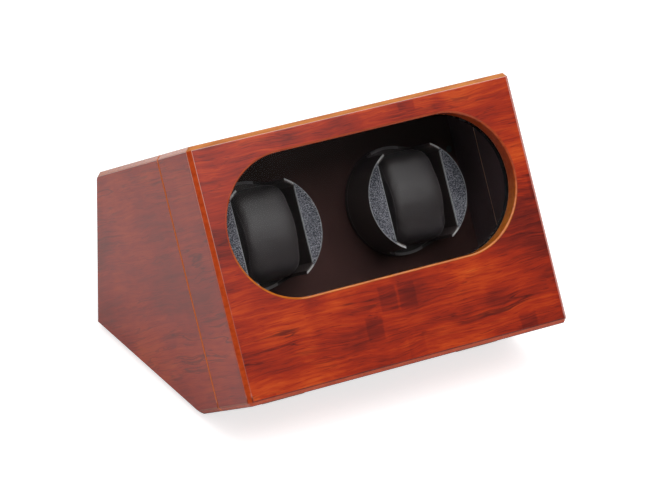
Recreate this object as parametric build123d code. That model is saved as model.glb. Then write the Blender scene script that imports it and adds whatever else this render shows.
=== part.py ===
from build123d import *
import os
from math import acos, cos, pi, radians, sin, sqrt, tan

# Double watch winder. All sizes are in millimetres and degrees.
# +X is the viewer's right, -Y the front, +Z up. The origin is under the middle of the case.
# Most pieces are drawn in the tilted frame of the front face and then stood up: there x is the width,
# y runs up the front face from its centre, and z comes out of it, so a depth behind the face is -z.
os.makedirs("parts", exist_ok=True)

# Case
case_width = 310.0
front_height = 218.0
top_depth = 188.0
lower_depth = 101.0
lean = 30.0
wall = 12.0
edge_chamfer = 3.6
seam_depth = 60.0
seam_groove = 1.3
foot_height = 2.0
foot_radius = 8.0
foot_inset = 24.0

# Window
window_side_margin = 18.0
window_top_margin = 21.0
window_height = 121.0
rim_rounding = 1.4
pane_thickness = 3.0
liner_thickness = 4.0
board_fit = 0.3
lining_thickness = 0.8
lining_reveal = 1.0

# Hinges and magnets
hinge_length = 40.0
hinge_inset = 60.0
hinge_axis_out = 1.0
knuckle_radius = 2.2
knuckle_count = 5
knuckle_gap = 0.2
knuckle_room = 0.4
leaf_thickness = 1.2
leaf_height = 10.0
leaf_room = 0.1
pin_radius = 0.9
running_fit = 0.05
hinge_screw_length = 9.0
hinge_screw_step = 14.4
hinge_screw_rise = 5.5
magnet_radius = 4.0
magnet_thickness = 4.0
magnet_inset = 55.0
magnet_room = 0.1

# Turntables
turntable_drop = 2.5
cup_face_depth = 54.0
cup_radius = 47.2
cup_wall = 2.4
cup_length = 44.0
cup_floor = 3.0
slot_width = 61.0
slot_wall = 2.0
crescent_thickness = 2.0
crescent_fit = 0.1
notch_width = 46.0
notch_depth = 40.0
notch_corner = 12.0

# Pillows
pillow_width = 50.0
pillow_height = 82.0
pillow_crown_out = 3.5
pillow_seat = 0.3
pillow_front_rounding = 15.0
pillow_back_rounding = 9.0
pillow_crown = 5.0
pillow_side_crown = 1.5
pillow_end_draw = 9.0
pillow_front_draw = 7.2
pillow_back_draw = 4.5
pillow_steps = (-1.0, -0.94, -0.8, -0.5, 0.0, 0.5, 0.8, 0.94, 1.0)
pillow_draw_power = 5

# Deck and its cleats
deck_gap = 2.0
deck_thickness = 6.0
cleat_size = 12.0
cleat_margin = 14.0
deck_screw_rows = 3

# Turntable shaft and its bearings
shaft_radius = 4.0
shaft_seat = 2.0
collar_radius = 11.0
collar_thickness = 1.5
bush_radius = 7.0
bush_flange_radius = 10.0
bush_flange = 1.5
bush_end_gap = 0.2
clip_radius = 7.0
clip_thickness = 1.0
clip_groove = 0.6
clip_mouth = 5.0
shaft_tail = 1.0

# Gears
gear_module = 1.25
gear_teeth = 48
pinion_teeth = 16
pressure_angle = 20.0
backlash = 0.2
root_share = 1.25
gear_width = 7.0
gear_deck_gap = 4.0
gear_hub_radius = 8.0
gear_hub_extra = 2.0
gear_web_cut = 1.5
gear_rim = 4.0
pinion_overlap = 1.5

# Motors
plate_thickness = 2.0
plate_gap = 18.0
plate_width = 84.0
plate_above = 32.0
plate_below = 70.0
spacer_radius = 4.0
spacer_side_inset = 5.0
spacer_end_inset = 6.0
gearbox_radius = 18.5
gearbox_length = 22.0
gearbox_offset = 7.0
boss_radius = 6.0
boss_length = 5.0
boss_room = 0.3
output_radius = 3.0
output_in_box = 4.0
motor_radius = 12.2
motor_length = 31.0
motor_cap_radius = 5.0
motor_cap = 2.0
motor_screw_inset = 3.0
motor_screw_count = 4

# Screws
screw_radius = 1.5
screw_head_radius = 2.9
screw_head_height = 1.7
driver_slot = 0.8
deck_screw_length = 14.0
spacer_screw_bite = 4.0
box_screw_bite = 4.0
small_screw_radius = 1.1
small_head_radius = 2.2
small_head_height = 1.3

# Controls in the back panel
control_rise = 62.0
pocket_width = 116.0
pocket_height = 44.0
pocket_depth = 8.0
pocket_lip = 7.0
pocket_corner = 5.0
plate_fit = 0.3
control_plate_thickness = 3.0
control_screw_inset = 3.6
control_screw_length = 6.0
switch_body_depth = 10.0
rocker_inset = 19.0
rocker_length = 17.0
rocker_width = 9.0
rocker_rise = 2.6
rocker_tilt = 8.0
rocker_room = 0.5
rocker_bezel = 2.0
rocker_pivot_radius = 0.7
rocker_pivot_bite = 1.5
bezel_rise = 1.4
selector_step = 24.0
selector_travel = 6.0
selector_room = 0.25
selector_slot_height = 3.2
selector_knob = 3.0
selector_knob_rise = 2.8
selector_body_length = 16.0
selector_body_height = 8.0
jack_inset = 16.0
jack_radius = 5.5
jack_bore = 3.2
jack_pin_radius = 1.0
jack_pin_recess = 1.0
jack_flange_radius = 7.0
jack_flange = 1.0
jack_depth = 9.0
board_end_gap = 5.0
board_side_gap = 1.0
board_thickness = 1.6
connector_size = 6.0

# Motor leads
lead_radius = 1.5
lead_straight = 16.0
lead_sag = 4.0
lead_rounding = 0.45
connector_inset = 10.0

sides = {"left": -1, "right": 1}


# The case outline in the tilted frame, as (depth behind the front face, height on it).
half_height = front_height / 2
lean_sine = sin(radians(lean))
lean_cosine = cos(radians(lean))
base_length = (top_depth - lower_depth) * lean_cosine + front_height * lean_sine
corner_front_low = (0.0, -half_height)
corner_front_top = (0.0, half_height)
corner_top_back = (top_depth, half_height)
corner_low_back = (lower_depth, -half_height)
corner_heel = (lower_depth + base_length * lean_cosine, -half_height + base_length * lean_sine)
outline = [corner_front_low, corner_front_top, corner_top_back, corner_heel, corner_low_back]


def inset_corner(before, corner, after, distance):
    """The corner of the outline moved inwards from both of its edges by the same distance."""
    into = Vector(corner[0] - before[0], corner[1] - before[1]).normalized()
    away = Vector(after[0] - corner[0], after[1] - corner[1]).normalized()
    turn = into.X * away.Y - into.Y * away.X
    shift = (away - into) * (distance / abs(turn))
    return (corner[0] + shift.X, corner[1] + shift.Y)


count = len(outline)
inner_outline = [
    inset_corner(outline[i - 1], outline[i], outline[(i + 1) % count], wall) for i in range(count)
]
inner_front_low, inner_front_top, inner_top_back, inner_heel, inner_low_back = inner_outline

# Where the tilted frame stands. The chamfered front corner is the case's foremost line.
back_to_front_low = base_length + lower_depth * lean_cosine
overall_depth = back_to_front_low - edge_chamfer * lean_sine
front_centre = Vector(
    0,
    overall_depth / 2 - back_to_front_low + half_height * lean_sine,
    foot_height + lower_depth * lean_sine + half_height * lean_cosine,
)
outward = Vector(0, -lean_cosine, lean_sine)
stand = Plane(origin=front_centre, x_dir=(1, 0, 0), z_dir=outward).location
back_face = overall_depth / 2

# Places that several pieces share.
inner_width = case_width - 2 * wall
window_length = case_width - 2 * window_side_margin
window_rise = half_height - window_top_margin - window_height / 2
turntable_spread = inner_width / 4
turntable_rise = window_rise - turntable_drop
hinge_spread = case_width / 2 - hinge_inset
magnet_spread = case_width / 2 - magnet_inset
pane_depth = wall
liner_depth = pane_depth + pane_thickness
liner_back = liner_depth + liner_thickness
cup_back_depth = cup_face_depth + cup_length
deck_depth = cup_back_depth + deck_gap
deck_back = deck_depth + deck_thickness
motor_plate_depth = deck_back + plate_gap
motor_plate_back = motor_plate_depth + plate_thickness
gear_depth = deck_back + gear_deck_gap
gear_radius = gear_module * gear_teeth / 2
pinion_radius = gear_module * pinion_teeth / 2
motor_drop = gear_radius + pinion_radius
motor_rise = turntable_rise - motor_drop
gearbox_rise = motor_rise - gearbox_offset
hinge_rise = -half_height - hinge_axis_out


def save(name, shape):
    """Writes one piece, or a group of like pieces, under its own name."""
    shape.label = name
    export_step(shape, f"parts/{name}.step")


def prism(points, low, high):
    """Extrudes an outline of (depth, height) points across the width, from low to high."""
    ring = [(low, rise, -depth) for depth, rise in points]
    face = make_face(Polyline(*ring, close=True))
    return extrude(face, amount=high - low, dir=(1, 0, 0))


def block(x_range, rise_range, depth_range):
    """A box in the tilted frame, given by its ranges of width, height and depth."""
    size = [x_range[1] - x_range[0], rise_range[1] - rise_range[0], depth_range[1] - depth_range[0]]
    middle = (sum(x_range) / 2, sum(rise_range) / 2, -sum(depth_range) / 2)
    return Pos(*middle) * Box(*size)


def rod(x, rise, radius, depth_range):
    """A round bar in the tilted frame, square to the front face."""
    length = depth_range[1] - depth_range[0]
    return Pos(x, rise, -sum(depth_range) / 2) * Cylinder(radius, length)


def cross_rod(rise, depth, radius, x_range):
    """A round bar in the tilted frame, along the width."""
    length = x_range[1] - x_range[0]
    return Pos(sum(x_range) / 2, rise, -depth) * Rot(0, 90, 0) * Cylinder(radius, length)


def whole(shapes):
    """Gathers separate solids into one group, standing as the case stands."""
    return Compound(children=[stand * shape for shape in shapes])


def stadium(length, height, rise, depth_range):
    """A bar with half-round ends, the shape of the window, at a height on the front face."""
    outline_sketch = SlotOverall(length, height)
    thickness = depth_range[1] - depth_range[0]
    return Pos(0, rise, -depth_range[1]) * extrude(outline_sketch, amount=thickness)


def flat_screw(radius, head_radius, head_height, length):
    """A countersunk screw along z, with its head's top at z = 0 and its shank below."""
    head = Pos(0, 0, -head_height / 2) * Cone(radius, head_radius, head_height)
    shank = Pos(0, 0, -(length + head_height) / 2) * Cylinder(radius, length - head_height)
    slot = Box(2 * head_radius, driver_slot, head_height)
    return head + shank - slot


def flat_screw_hole(radius, head_radius, head_height, length):
    """The hole that a countersunk screw fills, without its driver slot."""
    head = Pos(0, 0, -head_height / 2) * Cone(radius, head_radius, head_height)
    shank = Pos(0, 0, -(length + head_height) / 2) * Cylinder(radius, length - head_height)
    return head + shank


# The outer block of the case, its edges chamfered, sawn in two at the seam.
outer = prism(outline, -case_width / 2, case_width / 2)
outer = chamfer(outer.edges(), edge_chamfer)
far = 2 * case_width


def sawn(depth_range):
    """The part of the chamfered block between two depths, its seam edges chamfered into a groove."""
    piece = outer & block((-far, far), (-far, far), depth_range)
    at_seam = piece.faces().filter_by(Axis.Z).sort_by(lambda face: abs(face.center().Z + seam_depth))[0]
    return chamfer(at_seam.edges(), seam_groove)


lid_block = sawn((-far, seam_depth))
case_block = sawn((seam_depth, far))
middle_range = (-inner_width / 2, inner_width / 2)
side_ranges = {"left": (-case_width / 2, middle_range[0]), "right": (middle_range[1], case_width / 2)}


def hinge_recesses():
    """The room that the hinges take out of both halves: the knuckles' groove and the leaves' pockets."""
    cuts = []
    for side in sides.values():
        middle = side * hinge_spread
        ends = (middle - hinge_length / 2 - knuckle_room, middle + hinge_length / 2 + knuckle_room)
        cuts.append(cross_rod(hinge_rise, seam_depth, knuckle_radius + knuckle_room, ends))
        leaf_room_range = (seam_depth - leaf_thickness - leaf_room, seam_depth + leaf_thickness + leaf_room)
        rises = (-half_height - edge_chamfer, -half_height + leaf_height + leaf_room)
        cuts.append(block(ends, rises, leaf_room_range))
    return cuts


def hinge_screw_places():
    """The x and height of every hinge screw on one half."""
    rise = -half_height + hinge_screw_rise
    middles = [side * hinge_spread for side in sides.values()]
    return [(middle + step * hinge_screw_step, rise) for middle in middles for step in (-1, 0, 1)]


def magnet_places():
    """The x and height of the magnets, in the middle of the top boards."""
    return [(side * magnet_spread, half_height - wall / 2) for side in sides.values()]


def screws_along(places, depth, into_case, length, radius, head_radius, head_height, as_holes=False):
    """Countersunk screws with their heads at one depth, driven backwards or forwards."""
    maker = flat_screw_hole if as_holes else flat_screw
    screw = maker(radius, head_radius, head_height, length)
    turned = screw if into_case else Rot(180, 0, 0) * screw
    return [Pos(x, rise, -depth) * turned for x, rise in places]


def board(from_block, points, x_range, cuts=()):
    """One board: the part of a sawn half inside an outline, less its cuts."""
    piece = from_block & prism(points, *x_range)
    for cut in cuts:
        piece = piece - cut
    return piece


# Case shell behind the seam
seam_top = (seam_depth, half_height)
seam_low = (seam_depth, -half_height)
seam_top_inner = (seam_depth, half_height - wall)
seam_low_inner = (seam_depth, -half_height + wall)
case_leaf_face = seam_depth + leaf_room
lid_leaf_face = seam_depth - leaf_room
hinge_screw = (hinge_screw_length, small_screw_radius, small_head_radius, small_head_height)


def magnets(depth_range):
    return [rod(x, rise, magnet_radius, depth_range) for x, rise in magnet_places()]


def deck_screw_places():
    """The screws that hold the deck to its side cleats, in even rows."""
    rises = cleat_rises()
    step = (rises[1] - rises[0]) / deck_screw_rows
    rows = [rises[0] + step * (row + 0.5) for row in range(deck_screw_rows)]
    side_x = inner_width / 2 - cleat_size / 2
    return [(side * side_x, rise) for side in sides.values() for rise in rows]


def deck_low_rise():
    """The deck's lower edge, where the base panel rises to meet the deck's back."""
    slope = lean_sine / lean_cosine
    return inner_low_back[1] + (deck_back - inner_low_back[0]) * slope + board_fit


def cleat_rises():
    slope = lean_sine / lean_cosine
    low = inner_low_back[1] + (deck_back + cleat_size - inner_low_back[0]) * slope + board_fit
    return (low + cleat_margin, half_height - wall - cleat_margin)


def make_case_shell():
    every_cut = hinge_recesses()
    every_cut += magnets((seam_depth, seam_depth + magnet_thickness + magnet_room))
    every_cut += screws_along(hinge_screw_places(), case_leaf_face, True, *hinge_screw, as_holes=True)
    lower = [corner_low_back, seam_low, seam_low_inner, inner_low_back]
    top = [seam_top, corner_top_back, inner_top_back, seam_top_inner]
    base = [corner_heel, corner_low_back, inner_low_back, inner_heel]
    back = [corner_top_back, corner_heel, inner_heel, inner_top_back]
    save("top_panel", stand * board(case_block, top, middle_range, every_cut))
    save("lower_front_panel", stand * board(case_block, lower, middle_range, every_cut))
    save("base_panel", stand * board(case_block, base, middle_range))
    save("back_panel", stand * board(case_block, back, middle_range) - back_pocket())
    for side in sides:
        save(f"{side}_side_panel", stand * board(case_block, outline, side_ranges[side]))


def make_lid_shell():
    every_cut = hinge_recesses()
    every_cut += magnets((seam_depth - magnet_thickness - magnet_room, seam_depth))
    every_cut += screws_along(hinge_screw_places(), lid_leaf_face, False, *hinge_screw, as_holes=True)
    top = [corner_front_top, seam_top, seam_top_inner, inner_front_top]
    low = [seam_low, corner_front_low, inner_front_low, seam_low_inner]
    front = [corner_front_low, corner_front_top, inner_front_top, inner_front_low]
    save("lid_top_rail", stand * board(lid_block, top, middle_range, every_cut))
    save("lid_bottom_rail", stand * board(lid_block, low, middle_range, every_cut))
    window = stadium(window_length, window_height, window_rise, (-wall, 2 * wall))
    panel = board(lid_block, front, middle_range, [window])
    face = panel.faces().filter_by(Axis.Z).sort_by(Axis.Z)[-1]
    panel = fillet(face.inner_wires()[0].edges(), rim_rounding)
    save("front_panel", stand * panel)
    for side in sides:
        save(f"lid_{side}_rail", stand * board(lid_block, outline, side_ranges[side]))


def make_window():
    width = inner_width - 2 * board_fit
    height = front_height - 2 * wall - 2 * board_fit
    across = (-width / 2, width / 2)
    up = (-height / 2, height / 2)
    save("window_pane", stand * block(across, up, (pane_depth, liner_depth)))
    opening = stadium(window_length, window_height, window_rise, (0, 2 * liner_back))
    save("window_liner", stand * (block(across, up, (liner_depth, liner_back)) - opening))


def lining(depth_range, low_end):
    """Four thin sheets on the inner walls. The lower sheet may stop sooner than the others."""
    side_x = inner_width / 2
    rise = half_height - wall
    thick = lining_thickness
    cross = (-side_x + thick + board_fit, side_x - thick - board_fit)
    up = (-rise, rise)
    return [
        block(cross, (rise - thick, rise), depth_range),
        block(cross, (-rise, -rise + thick), (depth_range[0], low_end)),
        block((-side_x, -side_x + thick), up, depth_range),
        block((side_x - thick, side_x), up, depth_range),
    ]


def make_linings():
    lid_range = (liner_back, seam_depth - lining_reveal)
    save("lid_lining", whole(lining(lid_range, lid_range[1])))
    case_range = (seam_depth + lining_reveal, deck_depth)
    sheets = lining(case_range, inner_low_back[0] - board_fit)
    inside = prism(inner_outline, -case_width / 2, case_width / 2)
    save("case_lining", whole([sheet & inside for sheet in sheets]))


def make_deck():
    width = inner_width - 2 * board_fit
    rises = (deck_low_rise(), half_height - wall - board_fit)
    deck = block((-width / 2, width / 2), rises, (deck_depth, deck_back))
    for side in sides.values():
        deck = deck - rod(side * turntable_spread, turntable_rise, bush_radius, (deck_depth, deck_back))
    for cut in deck_screws(as_holes=True) + spacer_screws(as_holes=True):
        deck = deck - cut
    save("deck", stand * deck)
    cleats = []
    for side in sides.values():
        x_range = sorted((side * inner_width / 2, side * (inner_width / 2 - cleat_size)))
        cleat = block(x_range, cleat_rises(), (deck_back, deck_back + cleat_size))
        for cut in deck_screws(as_holes=True):
            cleat = cleat - cut
        cleats.append(cleat)
    save("deck_cleats", whole(cleats))


def deck_screws(as_holes=False):
    return screws_along(
        deck_screw_places(), deck_depth, True,
        deck_screw_length, screw_radius, screw_head_radius, screw_head_height, as_holes,
    )


def plate_edges(side):
    """A motor plate's ends across the width and up the front."""
    x = side * turntable_spread
    return (
        (x - plate_width / 2, x + plate_width / 2),
        (turntable_rise - plate_below, turntable_rise + plate_above),
    )


def spacer_places():
    """The four spacers of each motor plate, as x and height, just inside its corners."""
    places = []
    for side in sides.values():
        across, up = plate_edges(side)
        for x in (across[0] + spacer_side_inset, across[1] - spacer_side_inset):
            for rise in (up[0] + spacer_end_inset, up[1] - spacer_end_inset):
                places.append((x, rise))
    return places


def spacer_screws(as_holes=False):
    """Screws from behind, through plate and spacer into the deck."""
    length = plate_thickness + plate_gap + spacer_screw_bite
    return screws_along(
        spacer_places(), motor_plate_back, False,
        length, screw_radius, screw_head_radius, screw_head_height, as_holes,
    )


def gearbox_screw_places(side):
    circle = gearbox_radius - motor_screw_inset
    places = []
    for index in range(motor_screw_count):
        angle = 2 * pi * (index + 0.5) / motor_screw_count
        x = side * turntable_spread + circle * cos(angle)
        places.append((x, gearbox_rise + circle * sin(angle)))
    return places


def gearbox_screws(side, as_holes=False):
    """Screws from the front, through the plate into the gearbox."""
    length = plate_thickness + box_screw_bite
    return screws_along(
        gearbox_screw_places(side), motor_plate_depth, True,
        length, small_screw_radius, small_head_radius, small_head_height, as_holes,
    )


def make_fasteners():
    save("deck_screws", whole(deck_screws() + spacer_screws()))
    save("gearbox_screws", whole([screw for side in sides.values() for screw in gearbox_screws(side)]))
    spacers = []
    for x, rise in spacer_places():
        tube = rod(x, rise, spacer_radius, (deck_back, motor_plate_depth))
        spacers.append(tube - rod(x, rise, screw_radius, (deck_back, motor_plate_depth)))
    save("plate_spacers", whole(spacers))
    lid_screws = screws_along(hinge_screw_places(), lid_leaf_face, False, *hinge_screw)
    case_screws = screws_along(hinge_screw_places(), case_leaf_face, True, *hinge_screw)
    save("lid_hinge_screws", whole(lid_screws))
    save("case_hinge_screws", whole(case_screws))
    lid_face = seam_depth - magnet_room
    case_face = seam_depth + magnet_room
    save("lid_magnets", whole(magnets((lid_face - magnet_thickness, lid_face))))
    save("case_magnets", whole(magnets((case_face, case_face + magnet_thickness))))


def hinge_leaf(middle, on_lid):
    """One leaf with its share of the knuckles, bored for the pin."""
    step = hinge_length / knuckle_count
    start = middle - hinge_length / 2
    own = []
    other = []
    for index in range(knuckle_count):
        ends = (start + index * step, start + (index + 1) * step)
        mine = (index % 2 == 1) == on_lid
        (own if mine else other).append(ends)
    if on_lid:
        depths = (seam_depth - leaf_thickness - leaf_room, lid_leaf_face)
    else:
        depths = (case_leaf_face, seam_depth + leaf_thickness + leaf_room)
    leaf = block((start, start + hinge_length), (hinge_rise, -half_height + leaf_height), depths)
    for ends in other:
        room = (ends[0] - knuckle_gap / 2, ends[1] + knuckle_gap / 2)
        leaf = leaf - cross_rod(hinge_rise, seam_depth, knuckle_radius + knuckle_gap, room)
    for ends in own:
        kept = (ends[0] + knuckle_gap / 2, ends[1] - knuckle_gap / 2)
        leaf = leaf + cross_rod(hinge_rise, seam_depth, knuckle_radius, kept)
    bore = pin_radius + running_fit if on_lid else pin_radius
    leaf = leaf - cross_rod(hinge_rise, seam_depth, bore, (start, start + hinge_length))
    face_depth = lid_leaf_face if on_lid else case_leaf_face
    for cut in screws_along(hinge_screw_places(), face_depth, not on_lid, *hinge_screw, as_holes=True):
        leaf = leaf - cut
    return leaf


def make_hinges():
    middles = [side * hinge_spread for side in sides.values()]
    save("lid_hinge_leaves", whole([hinge_leaf(middle, True) for middle in middles]))
    save("case_hinge_leaves", whole([hinge_leaf(middle, False) for middle in middles]))
    half = hinge_length / 2
    pins = [cross_rod(hinge_rise, seam_depth, pin_radius, (m - half, m + half)) for m in middles]
    save("hinge_pins", whole(pins))


def crescent_region(radius, inner_x, depth_range):
    """The two segments of a round bar that lie outside the slot."""
    return rod(0, 0, radius, depth_range) - block((-inner_x, inner_x), (-far, far), depth_range)


def cup():
    """The turntable cup about its own axis: rim wall, notches, slot walls and floor."""
    depths = (cup_face_depth, cup_back_depth)
    floor_depth = cup_back_depth - cup_floor
    inside = cup_radius - cup_wall
    slot_half = slot_width / 2
    below_crescents = (cup_face_depth + crescent_thickness, floor_depth)
    body = rod(0, 0, cup_radius, depths) - rod(0, 0, inside, (cup_face_depth, floor_depth))
    ledge = crescent_region(inside, slot_half, below_crescents)
    pockets = crescent_region(inside - cup_wall, slot_half + slot_wall, below_crescents)
    body = body + (ledge - pockets)
    half = notch_width / 2
    notch_floor = cup_face_depth + notch_depth
    notch = block((-half, half), (-far, far), (0, notch_floor))
    low_edges = notch.edges().filter_by(Axis.Y).group_by(Axis.Z)[0]
    body = body - fillet(low_edges, notch_corner)
    return body - rod(0, 0, shaft_radius, (cup_back_depth - shaft_seat, cup_back_depth))


def crescents():
    """The two suede-covered segments that close the cup beside the slot."""
    depths = (cup_face_depth, cup_face_depth + crescent_thickness)
    return crescent_region(cup_radius - cup_wall - crescent_fit, slot_width / 2, depths)


def pillow_outline(x, height, front, back, rounding_front, rounding_back, crown, side_crown):
    """One closed section of the pillow, as lines and arcs, in the plane at x."""
    half = height / 2
    low = -half
    front_shoulder = half - rounding_front
    back_shoulder = half - rounding_back
    lean_in = 1 - sqrt(0.5)

    def at(rise, depth):
        return (x, rise, -depth)

    def corner(sign, shoulder, edge, depth, toward, rounding):
        inner = at(sign * shoulder, depth)
        middle = at(sign * (edge - lean_in * rounding), depth + toward * lean_in * rounding)
        outer = at(sign * edge, depth + toward * rounding)
        return inner, middle, outer

    front_edge = front + crown
    right_front = corner(1, front_shoulder, half, front_edge, 1, rounding_front)
    right_back = corner(1, back_shoulder, half, back, -1, rounding_back)
    left_front = corner(-1, front_shoulder, -low, front_edge, 1, rounding_front)
    left_back = corner(-1, back_shoulder, -low, back, -1, rounding_back)
    side_middle = (front_edge + rounding_front + back - rounding_back) / 2
    edges = [
        ThreePointArc(left_front[0], at(0, front), right_front[0]),
        ThreePointArc(*right_front),
        ThreePointArc(right_front[2], at(half + side_crown, side_middle), right_back[2]),
        ThreePointArc(*reversed(right_back)),
        Line(right_back[0], left_back[0]),
        ThreePointArc(*left_back),
        ThreePointArc(left_back[2], at(low - side_crown, side_middle), left_front[2]),
        ThreePointArc(*reversed(left_front)),
    ]
    return make_face(edges)


def pillow():
    """The watch pillow about its own axis, full in the middle and drawn in towards both ends."""
    front = cup_face_depth - pillow_crown_out
    back = cup_back_depth - cup_floor - pillow_seat
    half = pillow_width / 2
    sections = []
    for step in pillow_steps:
        draw = 1 - sqrt(1 - abs(step) ** pillow_draw_power)
        sections.append(
            pillow_outline(
                step * half,
                pillow_height - 2 * pillow_side_crown - 2 * pillow_end_draw * draw,
                front + pillow_front_draw * draw,
                back - pillow_back_draw * draw,
                pillow_front_rounding,
                pillow_back_rounding,
                pillow_crown,
                pillow_side_crown,
            )
        )
    return loft(sections)


def involute(angle):
    return tan(angle) - angle


def gear_outline(teeth, tooth_phase):
    """An involute gear's outline. The phase turns it by that share of one tooth."""
    pitch_radius = gear_module * teeth / 2
    base_radius = pitch_radius * cos(radians(pressure_angle))
    tip_radius = pitch_radius + gear_module
    root_radius = pitch_radius - root_share * gear_module
    half_tooth = pi / (2 * teeth) - backlash / (4 * pitch_radius)
    at_pitch = involute(radians(pressure_angle))
    flank_start = max(base_radius, root_radius)
    flank_steps = 4
    flank = []
    for step in range(flank_steps + 1):
        radius = flank_start + (tip_radius - flank_start) * step / flank_steps
        slope = acos(base_radius / radius)
        flank.append((radius, half_tooth + at_pitch - involute(slope)))
    if root_radius < base_radius:
        flank.insert(0, (root_radius, flank[0][1]))
    points = []
    for tooth in range(teeth):
        centre = 2 * pi * (tooth + tooth_phase) / teeth - pi / 2
        for radius, angle in flank:
            points.append((radius * cos(centre - angle), radius * sin(centre - angle)))
        for radius, angle in reversed(flank):
            points.append((radius * cos(centre + angle), radius * sin(centre + angle)))
    return points


def gear(teeth, tooth_phase, depth_range):
    thickness = depth_range[1] - depth_range[0]
    face = make_face(Polyline(*gear_outline(teeth, tooth_phase), close=True))
    return Pos(0, 0, -depth_range[1]) * extrude(face, amount=thickness)


def driven_gear():
    """The large gear on the turntable shaft: a thin web between rim and hub."""
    depths = (gear_depth, gear_depth + gear_width)
    hub_depths = (gear_depth - gear_hub_extra, gear_depth + gear_width + gear_hub_extra)
    web_radius = gear_radius - root_share * gear_module - gear_rim
    body = gear(gear_teeth, 0.0, depths)
    for cut in ((gear_depth, gear_depth + gear_web_cut), (depths[1] - gear_web_cut, depths[1])):
        body = body - rod(0, 0, web_radius, cut)
    body = body + rod(0, 0, gear_hub_radius, hub_depths)
    return body - rod(0, 0, shaft_radius, hub_depths)


rear_bush_front = motor_plate_depth - bush_flange
clip_depth = motor_plate_back + bush_end_gap


def turntable_shaft():
    """The shaft, its collar under the cup and its groove for the clip."""
    end = clip_depth + clip_thickness + shaft_tail
    body = rod(0, 0, shaft_radius, (cup_back_depth - shaft_seat, end))
    body = body + rod(0, 0, collar_radius, (cup_back_depth, cup_back_depth + collar_thickness))
    groove = (clip_depth, clip_depth + clip_thickness)
    ring = rod(0, 0, 2 * shaft_radius, groove) - rod(0, 0, shaft_radius - clip_groove, groove)
    return body - ring


def shaft_clip():
    """The open ring that snaps into the shaft's groove."""
    groove = (clip_depth, clip_depth + clip_thickness)
    ring = rod(0, 0, clip_radius, groove) - rod(0, 0, shaft_radius - clip_groove, groove)
    return ring - block((-clip_mouth / 2, clip_mouth / 2), (-far, 0), groove)


def pinion():
    """The small gear and the gearbox's output shaft that it is pressed on, about its own axis."""
    depths = (gear_depth - pinion_overlap, gear_depth + gear_width + pinion_overlap)
    small_gear = gear(pinion_teeth, pinion_teeth / 2 + 0.5, depths) - rod(0, 0, output_radius, depths)
    return [small_gear, rod(0, 0, output_radius, (depths[0], motor_plate_back + output_in_box))]


def at_place(x, rise, shape):
    return stand * Pos(x, rise, 0) * shape


def motor_plate(side):
    x = side * turntable_spread
    depths = (motor_plate_depth, motor_plate_back)
    plate = block(*plate_edges(side), depths)
    plate = plate - rod(x, turntable_rise, bush_radius, depths)
    plate = plate - rod(x, motor_rise, boss_radius + boss_room, depths)
    for cut in spacer_screws(as_holes=True) + gearbox_screws(side, as_holes=True):
        plate = plate - cut
    return stand * plate


def gearbox(side):
    x = side * turntable_spread
    depths = (motor_plate_back, motor_plate_back + gearbox_length)
    body = rod(x, gearbox_rise, gearbox_radius, depths)
    body = body + rod(x, motor_rise, boss_radius, (motor_plate_back - boss_length, motor_plate_back))
    bore = (motor_plate_back - boss_length, motor_plate_back + output_in_box)
    body = body - rod(x, motor_rise, output_radius + running_fit, bore)
    for cut in gearbox_screws(side, as_holes=True):
        body = body - cut
    return stand * body


def motor(side):
    x = side * turntable_spread
    start = motor_plate_back + gearbox_length
    can = rod(x, gearbox_rise, motor_radius, (start, start + motor_length))
    cap = rod(x, gearbox_rise, motor_cap_radius, (start + motor_length, start + motor_length + motor_cap))
    return stand * (can + cap)


def make_turntables():
    cup_body = cup()
    suede = crescents()
    pillow_body = pillow()
    big_gear = driven_gear()
    small_gear = pinion()
    for name, side in sides.items():
        x = side * turntable_spread
        save(f"{name}_cup", at_place(x, turntable_rise, cup_body))
        save(f"{name}_cup_suede", at_place(x, turntable_rise, suede))
        save(f"{name}_pillow", at_place(x, turntable_rise, pillow_body))
        save(f"{name}_driven_gear", at_place(x, turntable_rise, big_gear))
        save(f"{name}_turntable_shaft", at_place(x, turntable_rise, turntable_shaft()))
        save(f"{name}_shaft_clip", at_place(x, turntable_rise, shaft_clip()))
        save(f"{name}_pinion", Compound(children=[at_place(x, motor_rise, shape) for shape in small_gear]))
        save(f"{name}_motor_plate", motor_plate(side))
        save(f"{name}_gearbox", gearbox(side))
        save(f"{name}_motor", motor(side))


def flanged_bush(depth_range, flange_range):
    body = rod(0, 0, bush_radius, depth_range) + rod(0, 0, bush_flange_radius, flange_range)
    bore = (min(depth_range[0], flange_range[0]), max(depth_range[1], flange_range[1]))
    return body - rod(0, 0, shaft_radius + running_fit, bore)


def make_bushes():
    front_start = cup_back_depth + collar_thickness + bush_end_gap
    front = flanged_bush((front_start, deck_back), (deck_back, deck_back + bush_flange))
    rear = flanged_bush((motor_plate_depth, motor_plate_back), (rear_bush_front, motor_plate_depth))
    places = [side * turntable_spread for side in sides.values()]
    save("deck_bushes", Compound(children=[at_place(x, turntable_rise, front) for x in places]))
    save("plate_bushes", Compound(children=[at_place(x, turntable_rise, rear) for x in places]))


# The controls are drawn on the back face: x to the right as seen from behind, y up, z outwards.
control_origin = (0, back_face, foot_height + control_rise)
controls = Plane(origin=control_origin, x_dir=(-1, 0, 0), z_dir=(0, 1, 0)).location
plate_outer = -pocket_depth + control_plate_thickness
rocker_place = pocket_width / 2 - rocker_inset
jack_place = jack_inset - pocket_width / 2
rocker_frame_length = rocker_length + 2 * (rocker_room + rocker_bezel)
# The selectors stand midway between the jack's flange and the rocker's frame.
selector_middle = (jack_place + jack_flange_radius + rocker_place - rocker_frame_length / 2) / 2
selector_places = [selector_middle - selector_step / 2, selector_middle + selector_step / 2]
opening_width = pocket_width - 2 * pocket_lip
opening_height = pocket_height - 2 * pocket_lip


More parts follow.
